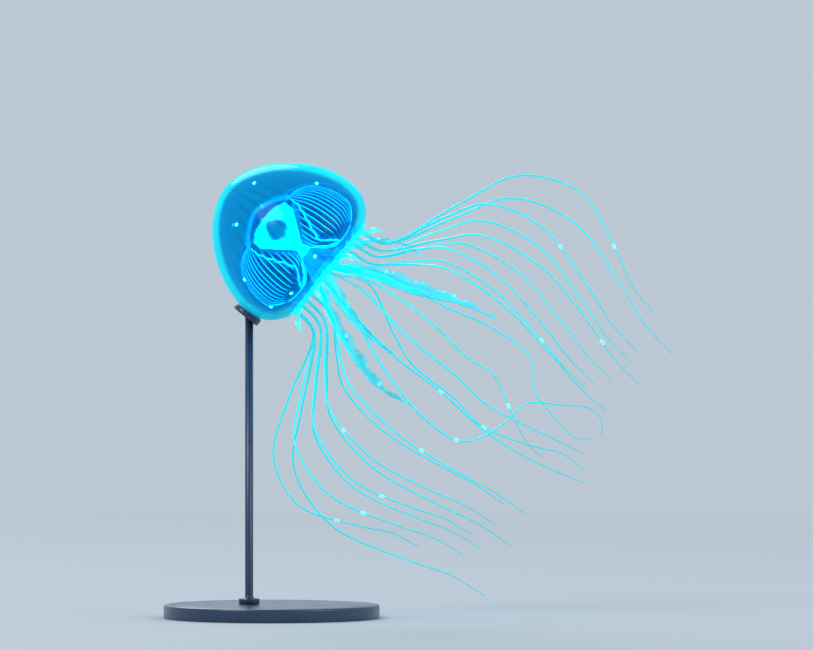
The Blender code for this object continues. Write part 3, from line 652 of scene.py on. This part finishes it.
def gonad_look():
    """A gonad's pleated sheet, translucent in its valleys, with painted shade that darkens the valleys and a
    painted glow on the crests.
    """
    look = Look("gonad", {
        **WET, "Base Color": (0.0, 0.5, 0.7, 1.0),
        "Emission Color": (0.0, 0.8, 1.0, 1.0), "Emission Strength": 0.2,
    })
    crest = look.layer("crest")
    grain = look.noise(600.0, 3.0)
    # Painted shade and glow: the pleats' valleys are dark blue, and their crests are lighter and glow.
    crest_light = look.math("POWER", crest, 3.0)
    colour = look.blend(crest_light, (0.0, 0.10, 0.40, 1.0), (0.0, 0.40, 0.75, 1.0))
    look.join(look.blend(look.math("MULTIPLY", grain, 0.2), colour, (0.0, 0.50, 0.90, 1.0)), "Base Color")
    look.join(look.stretch(crest_light, 0.1, 1.0, 0.03, 0.25), "Emission Strength")
    look.join(look.stretch(crest_light, 0.0, 1.0, 0.6, 0.8), "Alpha")
    look.bump(grain, 0.15 * MM, 0.5)
    return look.material


def glow_look(name, colour, strength):
    """Living tissue that glows: lines, hems and spots."""
    look = Look(name, {
        **WET, "Base Color": colour, "Coat Roughness": 0.1,
        "Emission Color": (0.0, 1.0, 1.0, 1.0), "Emission Strength": strength,
    })
    grain = look.noise(900.0, 2.0)
    deep = tuple(value * 0.8 for value in colour[:3]) + (1.0,)
    look.join(look.blend(look.stretch(grain, 0.35, 0.65, 0.0, 1.0), deep, colour), "Base Color")
    look.bump(grain, 0.08 * MM, 0.4)
    return look.material


def metal_look():
    """The stand's satin navy paint over metal, with the faint orange peel of sprayed paint."""
    look = Look("stand_paint", {
        "Base Color": (0.020, 0.045, 0.10, 1.0), "Roughness": 0.34, "Metallic": 0.35, "IOR": 1.5,
        "Coat Weight": 0.35, "Coat Roughness": 0.2,
    }, of_animal=False)
    speck = look.noise(2600.0, 2.0)
    cloud = look.noise(45.0, 3.0)
    look.join(look.blend(cloud, (0.016, 0.036, 0.085, 1.0), (0.026, 0.056, 0.12, 1.0)), "Base Color")
    look.join(look.stretch(cloud, 0.3, 0.7, 0.29, 0.40), "Roughness")
    look.bump(speck, 0.03 * MM, 0.35)
    return look.material


def liner_look():
    """The soft clear-grey liner of the cradle."""
    sockets = {"Base Color": (0.30, 0.36, 0.42, 1.0), "Roughness": 0.7, "IOR": 1.41}
    look = Look("stand_liner", sockets, of_animal=False)
    grain = look.noise(1800.0, 3.0)
    look.join(look.blend(grain, (0.24, 0.30, 0.36, 1.0), (0.36, 0.42, 0.48, 1.0)), "Base Color")
    look.bump(grain, 0.08 * MM, 0.4)
    return look.material


# ---- bell ----

def crown(share, grow=0.0):
    """The outer bell from the top (0) to the widest level (1), as radius and height."""
    rise = math.cos(share * math.pi / 2)
    radius = (BELL_RADIUS + grow) * max(1 - rise ** CROWN_POWER, 0.0) ** CROWN_ROOT
    return radius, WIDEST_HEIGHT + (BELL_HEIGHT + grow - WIDEST_HEIGHT) * rise


def skirt(share, grow=0.0):
    """The outer bell from the widest level (0) in to the rim (1), as radius and height."""
    fall = math.sin(share * math.pi / 2)
    pull = 1 - (1 - fall ** SKIRT_POWER) ** SKIRT_ROOT
    radius = BELL_RADIUS + grow - (BELL_RADIUS - MARGIN_RADIUS) * pull
    return radius, WIDEST_HEIGHT - (WIDEST_HEIGHT + grow) * fall


def dome_radius(height):
    """Radius of the stomach's dome at a height."""
    rise = max(height - DOME_FOOT, 0.0) / (DOME_TOP - DOME_FOOT)
    return DOME_RADIUS * max(1 - rise ** DOME_POWER, 0.0) ** DOME_ROOT


def cavity_wall(share):
    """The cavity's wall from the rim's lip (0) up to the edge of the stomach's dome (1)."""
    if share < LIP_SHARE:
        fall = math.cos(share / LIP_SHARE * math.pi / 2)
        pull = 1 - (1 - fall ** SKIRT_POWER) ** SKIRT_ROOT
        radius = CAVITY_RADIUS - (CAVITY_RADIUS - MARGIN_RADIUS + MARGIN_WIDTH) * pull
        return radius, CAVITY_WIDEST - (CAVITY_WIDEST - LIP_HEIGHT) * fall
    low = DOME_RADIUS + ROOF_LEDGE
    edge = (1 - (low / CAVITY_RADIUS) ** (1 / CAVITY_ROOT)) ** (1 / CAVITY_POWER)
    rise = edge * math.sin((share - LIP_SHARE) / (1 - LIP_SHARE) * math.pi / 2)
    radius = CAVITY_RADIUS * (1 - rise ** CAVITY_POWER) ** CAVITY_ROOT
    return radius, CAVITY_WIDEST + (CAVITY_ROOF - CAVITY_WIDEST) * rise


def bell_radius(height):
    """Radius of the outer bell at a height above the mouth."""
    if height > WIDEST_HEIGHT:
        rise = min((height - WIDEST_HEIGHT) / (BELL_HEIGHT - WIDEST_HEIGHT), 1.0)
        return crown(math.acos(rise) / (math.pi / 2))[0]
    fall = min((WIDEST_HEIGHT - height) / WIDEST_HEIGHT, 1.0)
    return skirt(math.asin(fall) / (math.pi / 2))[0]


def bell_normal(azimuth, height):
    """The outer bell's outward direction."""
    step = 0.2 * MM
    low, high = max(height - step, 0.0), min(height + step, BELL_HEIGHT)
    slope = (bell_radius(high) - bell_radius(low)) / (high - low)
    return polar(1.0, azimuth, -slope).normalized()


def inset(profile, depth):
    """A profile of (radius, height) moved this far into the jelly."""
    profile = np.array(profile)
    ahead = unit(np.gradient(profile, axis=0))
    outward = np.stack([-ahead[:, 1], ahead[:, 0]], axis=1)
    moved = profile - outward * depth
    moved[:, 0] = np.maximum(moved[:, 0], 0.02 * MM)
    return moved


def turn_profile(profile, columns):
    """Rows of points: the profile of (radius, height) at each azimuth."""
    profile = np.array(profile)
    turns = np.linspace(0.0, 2 * math.pi, columns, endpoint=False)
    rows = profile[:, None, :1] * around(turns)
    rows[..., 2] += profile[:, 1:]
    return rows, turns


def add_bell(maker):
    """The bell: its outside, scalloped rim and hollow, and the clear middle between its two layers."""
    outside = [crown(i / 90) for i in range(1, 91)] + [skirt(i / 60) for i in range(1, 61)]
    half = MARGIN_WIDTH / 2
    turn_in = arc(MARGIN_RADIUS - half, 0.0, half, -RIM_ROUND, 0, 2, 12)[1:]
    wall = [spot for spot in (cavity_wall(i / 80) for i in range(81)) if spot[0] > ROOF_START]
    recess = []
    for rise in np.linspace(0.5, 1.0, 24)[:-1]:
        height = mix(DOME_FOOT, DOME_TOP, rise)
        recess.append((dome_radius(height) + GAP, height + GAP))

    profile = np.array(outside + turn_in + wall + recess)
    outer = len(outside) + len(turn_in)
    rows, turns = turn_profile(profile, BELL_COLUMNS)
    lobe = np.abs(np.sin(turns * LAPPETS / 2)) ** LAPPET_POWER
    reach = ease(1 - profile[:, 1] / LAPPET_RISE)[:, None] * np.ones(len(turns))
    reach[outer:] *= LAPPET_INSIDE
    rows[..., 2] -= LAPPET_DROP * reach ** 2 * lobe
    rows -= (LAPPET_GROOVE * reach * (1 - lobe))[..., None] * around(turns)
    margin = ease(1 - (profile[:, 1] - MARGIN_SOLID) / MARGIN_FADE)[:, None] + 0 * turns
    maker.grid(rows[:outer + 1], end_pole=False, margin=margin[:outer + 1])
    maker.grid(rows[outer:], start_pole=False, margin=margin[outer:], inside=1.0)

    under_skin = [spot for spot in inset(outside, SKIN_LAYER) if spot[1] > LAYERS_FOOT]
    over_wall = [spot for spot in inset(wall + recess, WALL_LAYER) if spot[1] > LAYERS_FOOT]
    hollow, _ = turn_profile(under_skin + over_wall, BELL_COLUMNS // 2)
    maker.grid(hollow, flip=True, inside=1.0)


# ---- clubs and tentacles ----

def club_route(azimuth):
    """The route of a short young tentacle."""
    angle = math.radians(azimuth)
    handles = [polar(TENTACLE_ROOT_RADIUS + out * MM, angle, -drop * MM) for out, drop in CLUB_HANDLES]
    return evenly(curve_through(handles), CLUB_SPACING)


def root_flare(length, start):
    """How much a thread is widened at its root, most up to the start and less beyond it."""
    return FLARE * np.exp(-((length - start).clip(0) / FLARE_LENGTH) ** 2)


def rounded_tip(length, reach, least):
    """1 along a thread, falling round over its last stretch to the least share."""
    tip = ((length[-1] - length) / reach).clip(0, 1)
    return np.sqrt(1 - (1 - tip) ** 2).clip(least)


def add_clubs(maker):
    """Eight short young tentacles, one in each octant."""
    for azimuth in CLUB_AZIMUTHS:
        points = club_route(azimuth)
        share = np.linspace(0.0, 1.0, len(points))
        length = share * (len(points) - 1) * CLUB_SPACING
        radii = np.interp(share, np.linspace(0.0, 1.0, len(CLUB_RADII)), CLUB_RADII) * MM
        radii = (radii + root_flare(length, CLUB_FLARE_START)) * rounded_tip(length, *CLUB_TIP)
        add_tube(maker, points, radii, 2, CLUB_SIDES)


def rim_handles(azimuth):
    """Where a tentacle leaves the rim, from just inside it, and the end of its straight start."""
    angle = math.radians(azimuth)
    return [polar(TENTACLE_ROOT_RADIUS, angle, height) for height in (1 * MM, -GAP - TENTACLE_START)]


def fan_route(rim_azimuth, crest_azimuth, reach, crest_drop, tip_drop):
    """A tentacle that arches out to its crest and trails in again, like water from a fountain."""
    flare, neck_drop = NECK
    crest = reach * MM
    tip = crest * TIP_REACH

    def spot(radius, turn, drop):
        return polar(radius, math.radians(mix(rim_azimuth, crest_azimuth, turn)), -drop * MM)

    handles = rim_handles(rim_azimuth)
    handles.append(spot(TENTACLE_ROOT_RADIUS + flare, NECK_TURN, neck_drop / MM))
    for out, down in FAN_ARCH:
        handles.append(spot(mix(TENTACLE_ROOT_RADIUS, crest, out), out, crest_drop * down))
    for share in FAN_FALL:
        draw_in = (1 - math.cos(share * math.pi)) / 2
        handles.append(spot(mix(crest, tip, draw_in), 1.0, mix(crest_drop, tip_drop, share)))
    return curve_through(handles)


def trailing_route(rim_azimuth, bow, handles):
    """A tentacle that waves down behind or before the oral arms."""
    facing = math.copysign(1.0, math.sin(math.radians(rim_azimuth)))
    tip_drop = handles[-1][1]
    spots = rim_handles(rim_azimuth)
    for across, drop in handles:
        share = drop / tip_drop
        depth = mix(TENTACLE_ROOT_RADIUS, bow * MM, ease(share / CREST_SHARE))
        depth *= 1 - TRAILING_DRAW_IN * ease((share - CREST_SHARE) / (1 - CREST_SHARE))
        spots.append(Vector((across * MM, facing * depth, -drop * MM)))
    return curve_through(spots)


def tentacle_radii(share, length):
    """Radii along a tentacle: its flared root, even taper, bands of stinging cells and fine tip."""
    swell = (TENTACLE_SWELL - TENTACLE_THICK) * (1 - ease(share / SWELL_SHARE))
    plain = mix(TENTACLE_THICK, TENTACLE_THIN, share ** THIN_POWER) + swell
    band = np.sin(2 * math.pi * length / BATTERY_SPACING)
    radii = plain * (1 + BATTERY_SWELL * band) + root_flare(length, TENTACLE_FLARE_START)
    return radii * rounded_tip(length, *TENTACLE_TIP), (band + 1) / 2


def tentacle_routes():
    """The routes of all twenty-four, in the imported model's order."""
    routes = [fan_route(*row) for row in UPPER_FAN]
    routes += [trailing_route(*row) for row in TRAILING]
    routes += [fan_route(*row) for row in LOWER_FAN]
    return [evenly(route, TUBE_SPACING) for route in routes]


def add_tentacles(maker, routes):
    """Each tentacle as one unbroken thread."""
    for points in routes:
        share = np.linspace(0.0, 1.0, len(points))
        radii, band = tentacle_radii(share, share * (len(points) - 1) * TUBE_SPACING)
        add_tube(maker, points, radii, 1, along=share, band=band)


# ---- stomach and gonads ----

def add_stomach(maker):
    """The clear dome that roofs the stomach, and the glowing stomach with its mouth tube."""
    heights = DOME_FOOT + (DOME_TOP - DOME_FOOT) * (1 - np.linspace(0.02, 1.0, 40) ** 2)
    lid = [(dome_radius(height), height) for height in heights]
    under = inset(lid, LID_THICKNESS)[::-1]
    maker.grid(turn_profile(lid + under.tolist(), 160)[0])

    profile = flat_curve(STOMACH_HANDLES, 8)[1:].tolist() + MOUTH_LIP
    rows, turns = turn_profile(np.array(profile) * MM, 192)
    ribs = RIB_DEPTH * np.cos(turns * STOMACH_RIBS) * ease((rows[..., 2] - RIB_FOOT) / RIB_RISE)
    lobes = LOBE_DEPTH * np.cos(turns * STOMACH_LOBES + math.pi / 2)
    size = np.linalg.norm(rows[..., :2], axis=-1)
    rows = rows + ((ribs + lobes) * np.clip(size / STOMACH_CALM, 0, 1))[..., None] * around(turns)
    window = 0.0
    for azimuth in GONAD_AZIMUTHS:
        turn = (turns - math.radians(azimuth - 45) + math.pi) % (2 * math.pi) - math.pi
        rise = (rows[..., 2] - WINDOW_FOOT) / WINDOW_RISE
        across = turn * WINDOW_RADIUS / (WINDOW_WIDTH * np.clip(1.25 - 0.75 * rise, 0.4, 1.5))
        window = window + np.exp(-(across ** 2 + (2 * rise - 1) ** 2) ** 1.5)
    maker.grid(rows, 1, window=window)


def pleat_phase(across):
    """The pleats' angle: they are widest at a lobe's outer side and crowd together at its inner side."""
    return np.clip(across, 0.0, 1.0) ** (1 / PLEAT_POWER) * PLEATS * 2 * math.pi


def gonad_spot(number, across, down, lift=0.0):
    """A point of a lobe's pleated sheet, from 0 to 1 across from its outer side and down it (arrays)."""
    middle, level = GONAD_CENTRE
    top = GONAD_SLANT * (2 * across - 1).clip(0, 1) ** GONAD_SLANT_POWER
    share = mix(top, 1.0, down)
    side = (2 * across - 1) * (1 if number % 2 else -1)
    sweep = math.pi / 2 - share * np.radians(GONAD_SWEEP - GONAD_CORNER * side * side)
    rise = np.where(sweep > 0, GONAD_RISE, GONAD_HANG)
    calm = GONAD_HEM_CALM * ease((share - 1 + GONAD_HEM) / GONAD_HEM)
    depth = GONAD_PLEAT_DEPTH * ease(share / GONAD_FLAT) * (1 - calm)
    fold = np.cos(pleat_phase(across)) * depth + lift
    radius = middle + (GONAD_REACH + fold) * np.cos(sweep)
    draw_in = ease((across - GONAD_DRAW_START) / (1 - GONAD_DRAW_START))
    radius = radius * (1 - GONAD_DRAW_IN * draw_in * ease((1 - share) / GONAD_DRAW_LENGTH))
    height = level + (rise + fold) * np.sin(sweep)
    half = mix(GONAD_HALF_WIDTHS[0], GONAD_HALF_WIDTHS[1], share) + GONAD_BULGE * np.sin(share * math.pi)
    turn = np.radians(GONAD_AZIMUTHS[number] + side * half)
    return radius[..., None] * around(turn) + height[..., None] * UPRIGHT


def add_lobe_line(maker, number, handles, thick, steps=24):
    """A bright line over a lobe, through handles (across, down)."""
    route = flat_curve(handles, steps)
    share = np.linspace(0.0, 1.0, len(route))
    points = gonad_spot(number, route[:, 0], route[:, 1], LINE_LIFT + thick / 3)
    radii = thick * (0.3 + 0.7 * np.sqrt(np.sin(np.clip(share, 0.02, 0.98) * math.pi)))
    add_tube(maker, points, radii, 1, 8)


def add_gonads(maker):
    """Four lobes: a pleated sheet each, with lines along its pleats, a winding ridge and a thick hem."""
    down, across = np.meshgrid(np.linspace(0, 1, 56), np.linspace(0, 1, PLEATS * 12 + 1), indexing="ij")
    crest = (np.cos(pleat_phase(across)) + 1) / 2
    half = np.full(across.shape, LOBE_SHEET)
    for number in range(4):
        add_leaf(maker, gonad_spot(number, across, down), half, crest=crest)
        for line in range(PLEATS):
            place = (line / PLEATS) ** PLEAT_POWER
            if line < LONG_LINES:
                foot, thick = 0.93 - 0.03 * line, LONG_LINE
            else:
                foot, thick = 0.5 - 0.05 * (line % 3), SHORT_LINE
            add_lobe_line(maker, number, [(place, 0.01), (place, foot / 2), (place, foot)], thick, 70)
        add_lobe_line(maker, number, RIDGE_ROUTE, RIDGE, 30)
        add_lobe_line(maker, number, HEM_ROUTE, HEM)
        add_lobe_line(maker, number, INNER_HEM_ROUTE, INNER_HEM)


# ---- oral arms ----

def arm_stations(arm):
    """Centres, outward and sideways directions along an arm, and the share of its length."""
    handles = [polar(ARM_ROOT[0], 0.0, ARM_ROOT[1])]
    handles += [polar(radius * MM, 0.0, -drop * MM) for radius, drop in arm["handles"]]
    route = evenly(curve_through(handles), ARM_SPACING)
    share = np.linspace(0.0, 1.0, len(route))
    turn = np.radians(arm["azimuth"] + ARM_TURN * ease(share / ARM_TURN_SHARE) + arm["drift"] * ease(share))
    ahead = unit(np.gradient(route, axis=0))
    radial, sideways = around(turn), around(turn + math.pi / 2)
    centres = route[:, :1] * radial + route[:, 2:] * UPRIGHT
    outward = -ahead[:, 2:] * radial + ahead[:, :1] * UPRIGHT
    return centres, outward, sideways, share


def arm_sheet(number):
    """An arm's frilled sheet of points, its half thickness and its painted values."""
    arm = ARMS[number]
    phase = ARM_PHASE * number
    centres, outward, sideways, share = arm_stations(arm)
    share = share[:, None]
    run = share * len(centres) * ARM_SPACING * 2 * math.pi
    across = np.linspace(-1.0, 1.0, ARM_COLUMNS)[None, :]
    from_keel = np.abs(across - arm["keel"]) / (1 + abs(arm["keel"]))
    widest = arm["widest"]
    width = mix(ARM_ROOT_SHARE, 1.0, ease(share / widest))
    width = width * mix(1.0, ARM_TIP_SHARE, ease((share - widest) / (1 - widest)))
    width = width * arm["width"] * MM / 2
    grown = ease(share / FRILL_START)
    frilled = grown * from_keel ** 1.3
    side = np.sign(across - arm["keel"])
    long_wave = np.sin(run / LONG_WAVE + phase + side * 1.3)
    short_wave = np.sin(run / SHORT_WAVE + 2 * phase - side)
    lift = (LONG_LIFT * long_wave + SHORT_LIFT * short_wave * from_keel ** 2) * frilled
    lift = lift - 0.3 * width * from_keel ** 1.5
    reach = across * width * (1 + 0.03 * short_wave * frilled)
    sheet = centres[:, None] + sideways[:, None] * reach[..., None] + outward[:, None] * lift[..., None]
    thick = mix(*KEEL_THICKNESS, ease((share - 0.1) / 0.75))
    from_middle = (across - arm["keel"]) * width
    half = VEIL_THICKNESS + 0.85 * thick * np.exp(-(from_middle / thick) ** 2)
    half = half * (1 - 0.9 * ease((share - 0.96) / 0.04))
    keel = np.exp(-(from_middle / (1.4 * thick)) ** 2) * mix(1.0, 0.25, ease(share / 0.9))
    winding = np.sin(across * 19 + phase + 2.0 * np.sin(share * 7 + phase))
    streak = ((1 + winding) / 2) ** 3 * grown
    return sheet, half, {"keel": keel, "streak": streak, "thin": frilled * from_keel}


def add_arms(maker):
    """Four frilled oral arms."""
    for number in range(len(ARMS)):
        sheet, half, painted = arm_sheet(number)
        add_leaf(maker, sheet, half, **painted)


# ---- glowing spots ----

def add_thread_bead(maker, points, share, radius, stretch):
    """A bead drawn out along a thread, this share of the way down it."""
    at = int(share * (len(points) - 1))
    add_bead(maker, points[at], radius, stretch, points[at + 1] - points[at])


def add_spots(maker, routes):
    """Small glowing warts on the bell, the stomach's dome, the arms, the clubs and the tentacles."""
    for azimuth, height in BELL_SPOTS:
        angle, height = math.radians(azimuth), height * MM
        normal = bell_normal(angle, height)
        centre = polar(bell_radius(height), angle, height) - normal * SPOT_SINK
        add_bead(maker, centre, BELL_SPOT, BELL_SPOT_SQUASH, normal)
    for azimuth, height in DOME_SPOTS:
        centre = polar(dome_radius(height * MM), math.radians(azimuth), height * MM)
        add_bead(maker, centre, DOME_SPOT)
    for number, share in TENTACLE_SPOTS:
        add_thread_bead(maker, routes[number - 1], share, TENTACLE_BEAD, TENTACLE_BEAD_STRETCH)
    for number, share, across in ARM_SPOTS:
        sheet = arm_sheet(number)[0]
        row = sheet[int(share * (len(sheet) - 1))]
        add_bead(maker, row[int((across + 1) / 2 * (ARM_COLUMNS - 1))], ARM_SPOT)
    for azimuth in CLUB_AZIMUTHS:
        add_thread_bead(maker, club_route(azimuth), CLUB_BEAD_SHARE, CLUB_BEAD, CLUB_BEAD_STRETCH)


# ---- stand ----

def build_base():
    """A round base with a softened edge and a shallow groove near the edge."""
    top, edge = BASE_THICKNESS, BASE_RADIUS
    bevel, foot = BASE_BEVEL, BASE_FOOT_ROUND
    profile = [(radius * MM, top + height * MM) for radius, height in BASE_TOP]
    profile += arc(edge - bevel, top - bevel, bevel, bevel, 1, 0, 9)
    profile += [(edge, top / 2)]
    profile += arc(edge - foot, foot, foot, foot, 0, -1, 6)
    profile += [(radius * MM, 0.0) for radius in BASE_UNDERSIDE]
    maker = Maker()
    maker.grid(turn_profile(profile, 192)[0])
    return maker.build("stand_base_fine", [metal_look()])


def resting_point():
    """Where the rod meets the bell: the outline's point over the rod, and its outward direction."""
    outline = [skirt(i / 200) for i in range(201)]
    spots = [POSE @ Vector((-radius, 0.0, height)) for radius, height in outline]
    contact = min(spots, key=lambda spot: abs(spot.x - ROD_X))
    return contact, (POSE.to_3x3() @ Vector((-1.0, 0.0, 0.0))).normalized()


def depth_to_bell(start, direction):
    """How far a ray runs from the start before it comes within the gap of the outer bell."""
    inverse = POSE.inverted()
    low, high = 0.0, PAD_SEARCH
    for _ in range(24):
        middle = (low + high) / 2
        spot = inverse @ Vector(start + direction * middle)
        outside = math.hypot(spot.x, spot.y) > bell_radius(max(spot.z, 0.0)) + GAP
        low, high = (middle, high) if outside else (low, middle)
    return low


def add_rod(maker, top):
    """The rod, from inside the cradle down to its foot collar."""
    foot = BASE_THICKNESS + GAP
    shelf = foot + COLLAR_HEIGHT
    fillet, rounding, chamfer = COLLAR_FILLET, COLLAR_ROUND, COLLAR_CHAMFER
    profile = [(POLE, top), (ROD_RADIUS, top)]
    profile += arc(ROD_RADIUS + fillet, shelf + fillet, -fillet, -fillet, 0, 1, 8)
    profile += arc(COLLAR_RADIUS - rounding, shelf - rounding, rounding, rounding, 1, 0, 6)
    profile += [(COLLAR_RADIUS, foot + chamfer), (COLLAR_RADIUS - chamfer, foot), (POLE, foot)]
    maker.grid(turn_profile(profile, 64)[0] + np.array([ROD_X, 0.0, 0.0]))


def add_cradle(dish_maker, liner_maker, contact, outward):
    """The cradle's dish, which follows the bell, and the soft liner in it."""
    side = Vector((0.0, 1.0, 0.0))
    across = ring(np.array(side), np.array(outward.cross(side)), PAD_SIDES)
    start = np.array(contact + outward * PAD_HEIGHT)
    outward = np.array(outward)
    rim = PAD_RADIUS - PAD_ROUND
    liner = []
    for radius in np.linspace(PAD_MIDDLE, rim, 14):
        spots = start + across * radius
        liner.append([spot - outward * depth_to_bell(spot, -outward) for spot in spots])
    liner = np.array(liner)
    dish = liner + outward * LINER_SETTING
    back = (dish[-1] - start) @ outward
    edge = []
    for angle in np.linspace(0.0, math.pi, 7):
        height = back * (1 + math.cos(angle)) / 2
        edge.append(start + across * (rim + PAD_ROUND * math.sin(angle)) + height[:, None] * outward)
    under = [start + across * radius for radius in np.linspace(rim, PAD_MIDDLE, 8)]
    dish_maker.grid(np.concatenate([dish, edge, under]))
    inside = liner[::-1] + outward * LINER_THICKNESS
    liner_maker.grid(np.concatenate([liner[:-1], inside[1:]]), flip=True)


def build_rod():
    """The rod with its foot collar and its cradle, and the cradle's liner."""
    contact, outward = resting_point()
    hard, soft = Maker(), Maker()
    add_rod(hard, contact.z - ROD_SHORT)
    add_cradle(hard, soft, contact, outward)
    rod = hard.build("stand_rod_fine", [metal_look()])
    return rod, soft.build("stand_liner", [liner_look()])


# ---- stage ----

BACKGROUND = (0.50, 0.58, 0.66, 1.0)
FLOOR_RADIUS = 30.0
FLOOR_FADE = (0.3, 2.6)  # distances over which the floor turns into the background
LIGHTS_AIM = (0.05, 0.0, 0.18)
# Name, place, size, power and colour of each softbox.
SOFTBOXES = [
    ("key", (-1.6, -1.5, 2.1), 1.4, 28.0, (1.0, 0.98, 0.95)),
    ("fill", (1.9, -1.2, 1.3), 1.6, 16.0, (0.96, 0.98, 1.0)),
    ("back", (-0.6, 2.0, 1.8), 1.4, 22.0, (0.95, 0.98, 1.0)),
    ("left", (-2.0, 0.2, 0.4), 1.0, 14.0, (0.96, 0.98, 1.0)),
    ("right", (2.0, 0.5, 0.6), 1.0, 14.0, (0.96, 0.98, 1.0)),
]
MIRRORED = ("key", "fill", "back")
CAMERA_PLACE = (0.0899, -4.0, 0.1953)
CAMERA_LENS = 265.7
CAMERA_SENSOR = 36.0


def build_stage():
    """A pale floor that fades into a plain pale surround, soft lights and the camera."""
    scene = bpy.context.scene
    world = bpy.data.worlds.new("surround")
    world.use_nodes = True
    world.node_tree.nodes["Background"].inputs["Color"].default_value = BACKGROUND
    scene.world = world

    bpy.ops.mesh.primitive_circle_add(vertices=96, radius=FLOOR_RADIUS, fill_type="NGON", location=(0, 0, 0))
    floor = bpy.context.active_object
    floor.name = "floor"
    look = Look("floor", {"Base Color": (0.42, 0.465, 0.50, 1.0), "Roughness": 0.8}, of_animal=False)
    reach = look.node("ShaderNodeVectorMath", {"operation": "LENGTH"}, {0: look.place}).outputs["Value"]
    far = look.node("ShaderNodeEmission", inputs={"Color": BACKGROUND, "Strength": 1.0}).outputs[0]
    fade = look.stretch(reach, *FLOOR_FADE, 0.0, 1.0)
    both = look.node("ShaderNodeMixShader", inputs={0: fade, 1: look.shader.outputs[0], 2: far})
    look.tree.links.new(both.outputs[0], look.output.inputs["Surface"])
    floor.data.materials.append(look.material)

    aim = Vector(LIGHTS_AIM)
    for name, place, size, power, colour in SOFTBOXES:
        lamp = bpy.data.lights.new(name, "AREA")
        lamp.shape = "DISK"
        lamp.size = size
        lamp.energy = power
        lamp.color = colour
        holder = bpy.data.objects.new(name, lamp)
        holder.location = place
        holder.rotation_euler = (aim - Vector(place)).to_track_quat("-Z", "Y").to_euler()
        holder.visible_glossy = name in MIRRORED
        scene.collection.objects.link(holder)

    data = bpy.data.cameras.new("camera")
    data.lens = CAMERA_LENS
    data.sensor_width = CAMERA_SENSOR
    camera = bpy.data.objects.new("camera", data)
    camera.location = CAMERA_PLACE
    camera.rotation_euler = (math.pi / 2, 0.0, 0.0)
    scene.collection.objects.link(camera)
    scene.camera = camera

    scene.view_settings.view_transform = "Standard"
    scene.cycles.max_bounces = 32
    scene.cycles.transmission_bounces = 32
    scene.cycles.transparent_max_bounces = 48


def stands_for(piece, slot, *nodes):
    """Hide the solids the piece replaces, and attach it to the body it moves with, the root. The slot is not
    used.
    """
    if nodes:
        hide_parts(*nodes)
    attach(piece, "root")


def main():
    """Build every piece, and hide the imported solids that the pieces replace."""
    build_stage()
    routes = tentacle_routes()
    quarters = range(1, 5)

    maker = Maker("margin", "inside", "along", "band")
    add_bell(maker)
    add_tentacles(maker, routes)
    add_clubs(maker)
    club = glow_look("club", (0.1, 0.95, 0.97, 1.0), 0.45)
    skin = maker.build("skin", [jelly_look(), thread_look(), club], POSE)
    lengths = [f"tentacle_{number:02d}_{letter}" for number in range(1, 25) for letter in "ab"]
    stands_for(skin, "jelly", "bell", *lengths)

    maker = Maker("window")
    add_stomach(maker)
    stomach = maker.build("stomach_fine", [halo_look(), core_look()], POSE)
    stands_for(stomach, "organ", "stomach")

    maker = Maker("crest")
    add_gonads(maker)
    line = glow_look("gonad_line", (0.35, 1.0, 1.0, 1.0), 6.0)
    gonads = maker.build("gonads", [gonad_look(), line], POSE)
    stands_for(gonads, "organ", *[f"gonad_{number}" for number in quarters])

    maker = Maker("keel", "streak", "thin")
    add_arms(maker)
    arms = maker.build("oral_arms", [frill_look()], POSE)
    stands_for(arms, "frill", *[f"oral_arm_{number}" for number in quarters])

    maker = Maker()
    add_spots(maker, routes)
    spots = maker.build("glow_spots", [glow_look("spot", (0.35, 1.0, 1.0, 1.0), 1.5)], POSE)
    stands_for(spots, "organ")

    stands_for(build_base(), "stand", "stand_base")
    rod, liner = build_rod()
    stands_for(rod, "stand", "stand_rod")
    stands_for(liner, "stand")


main()
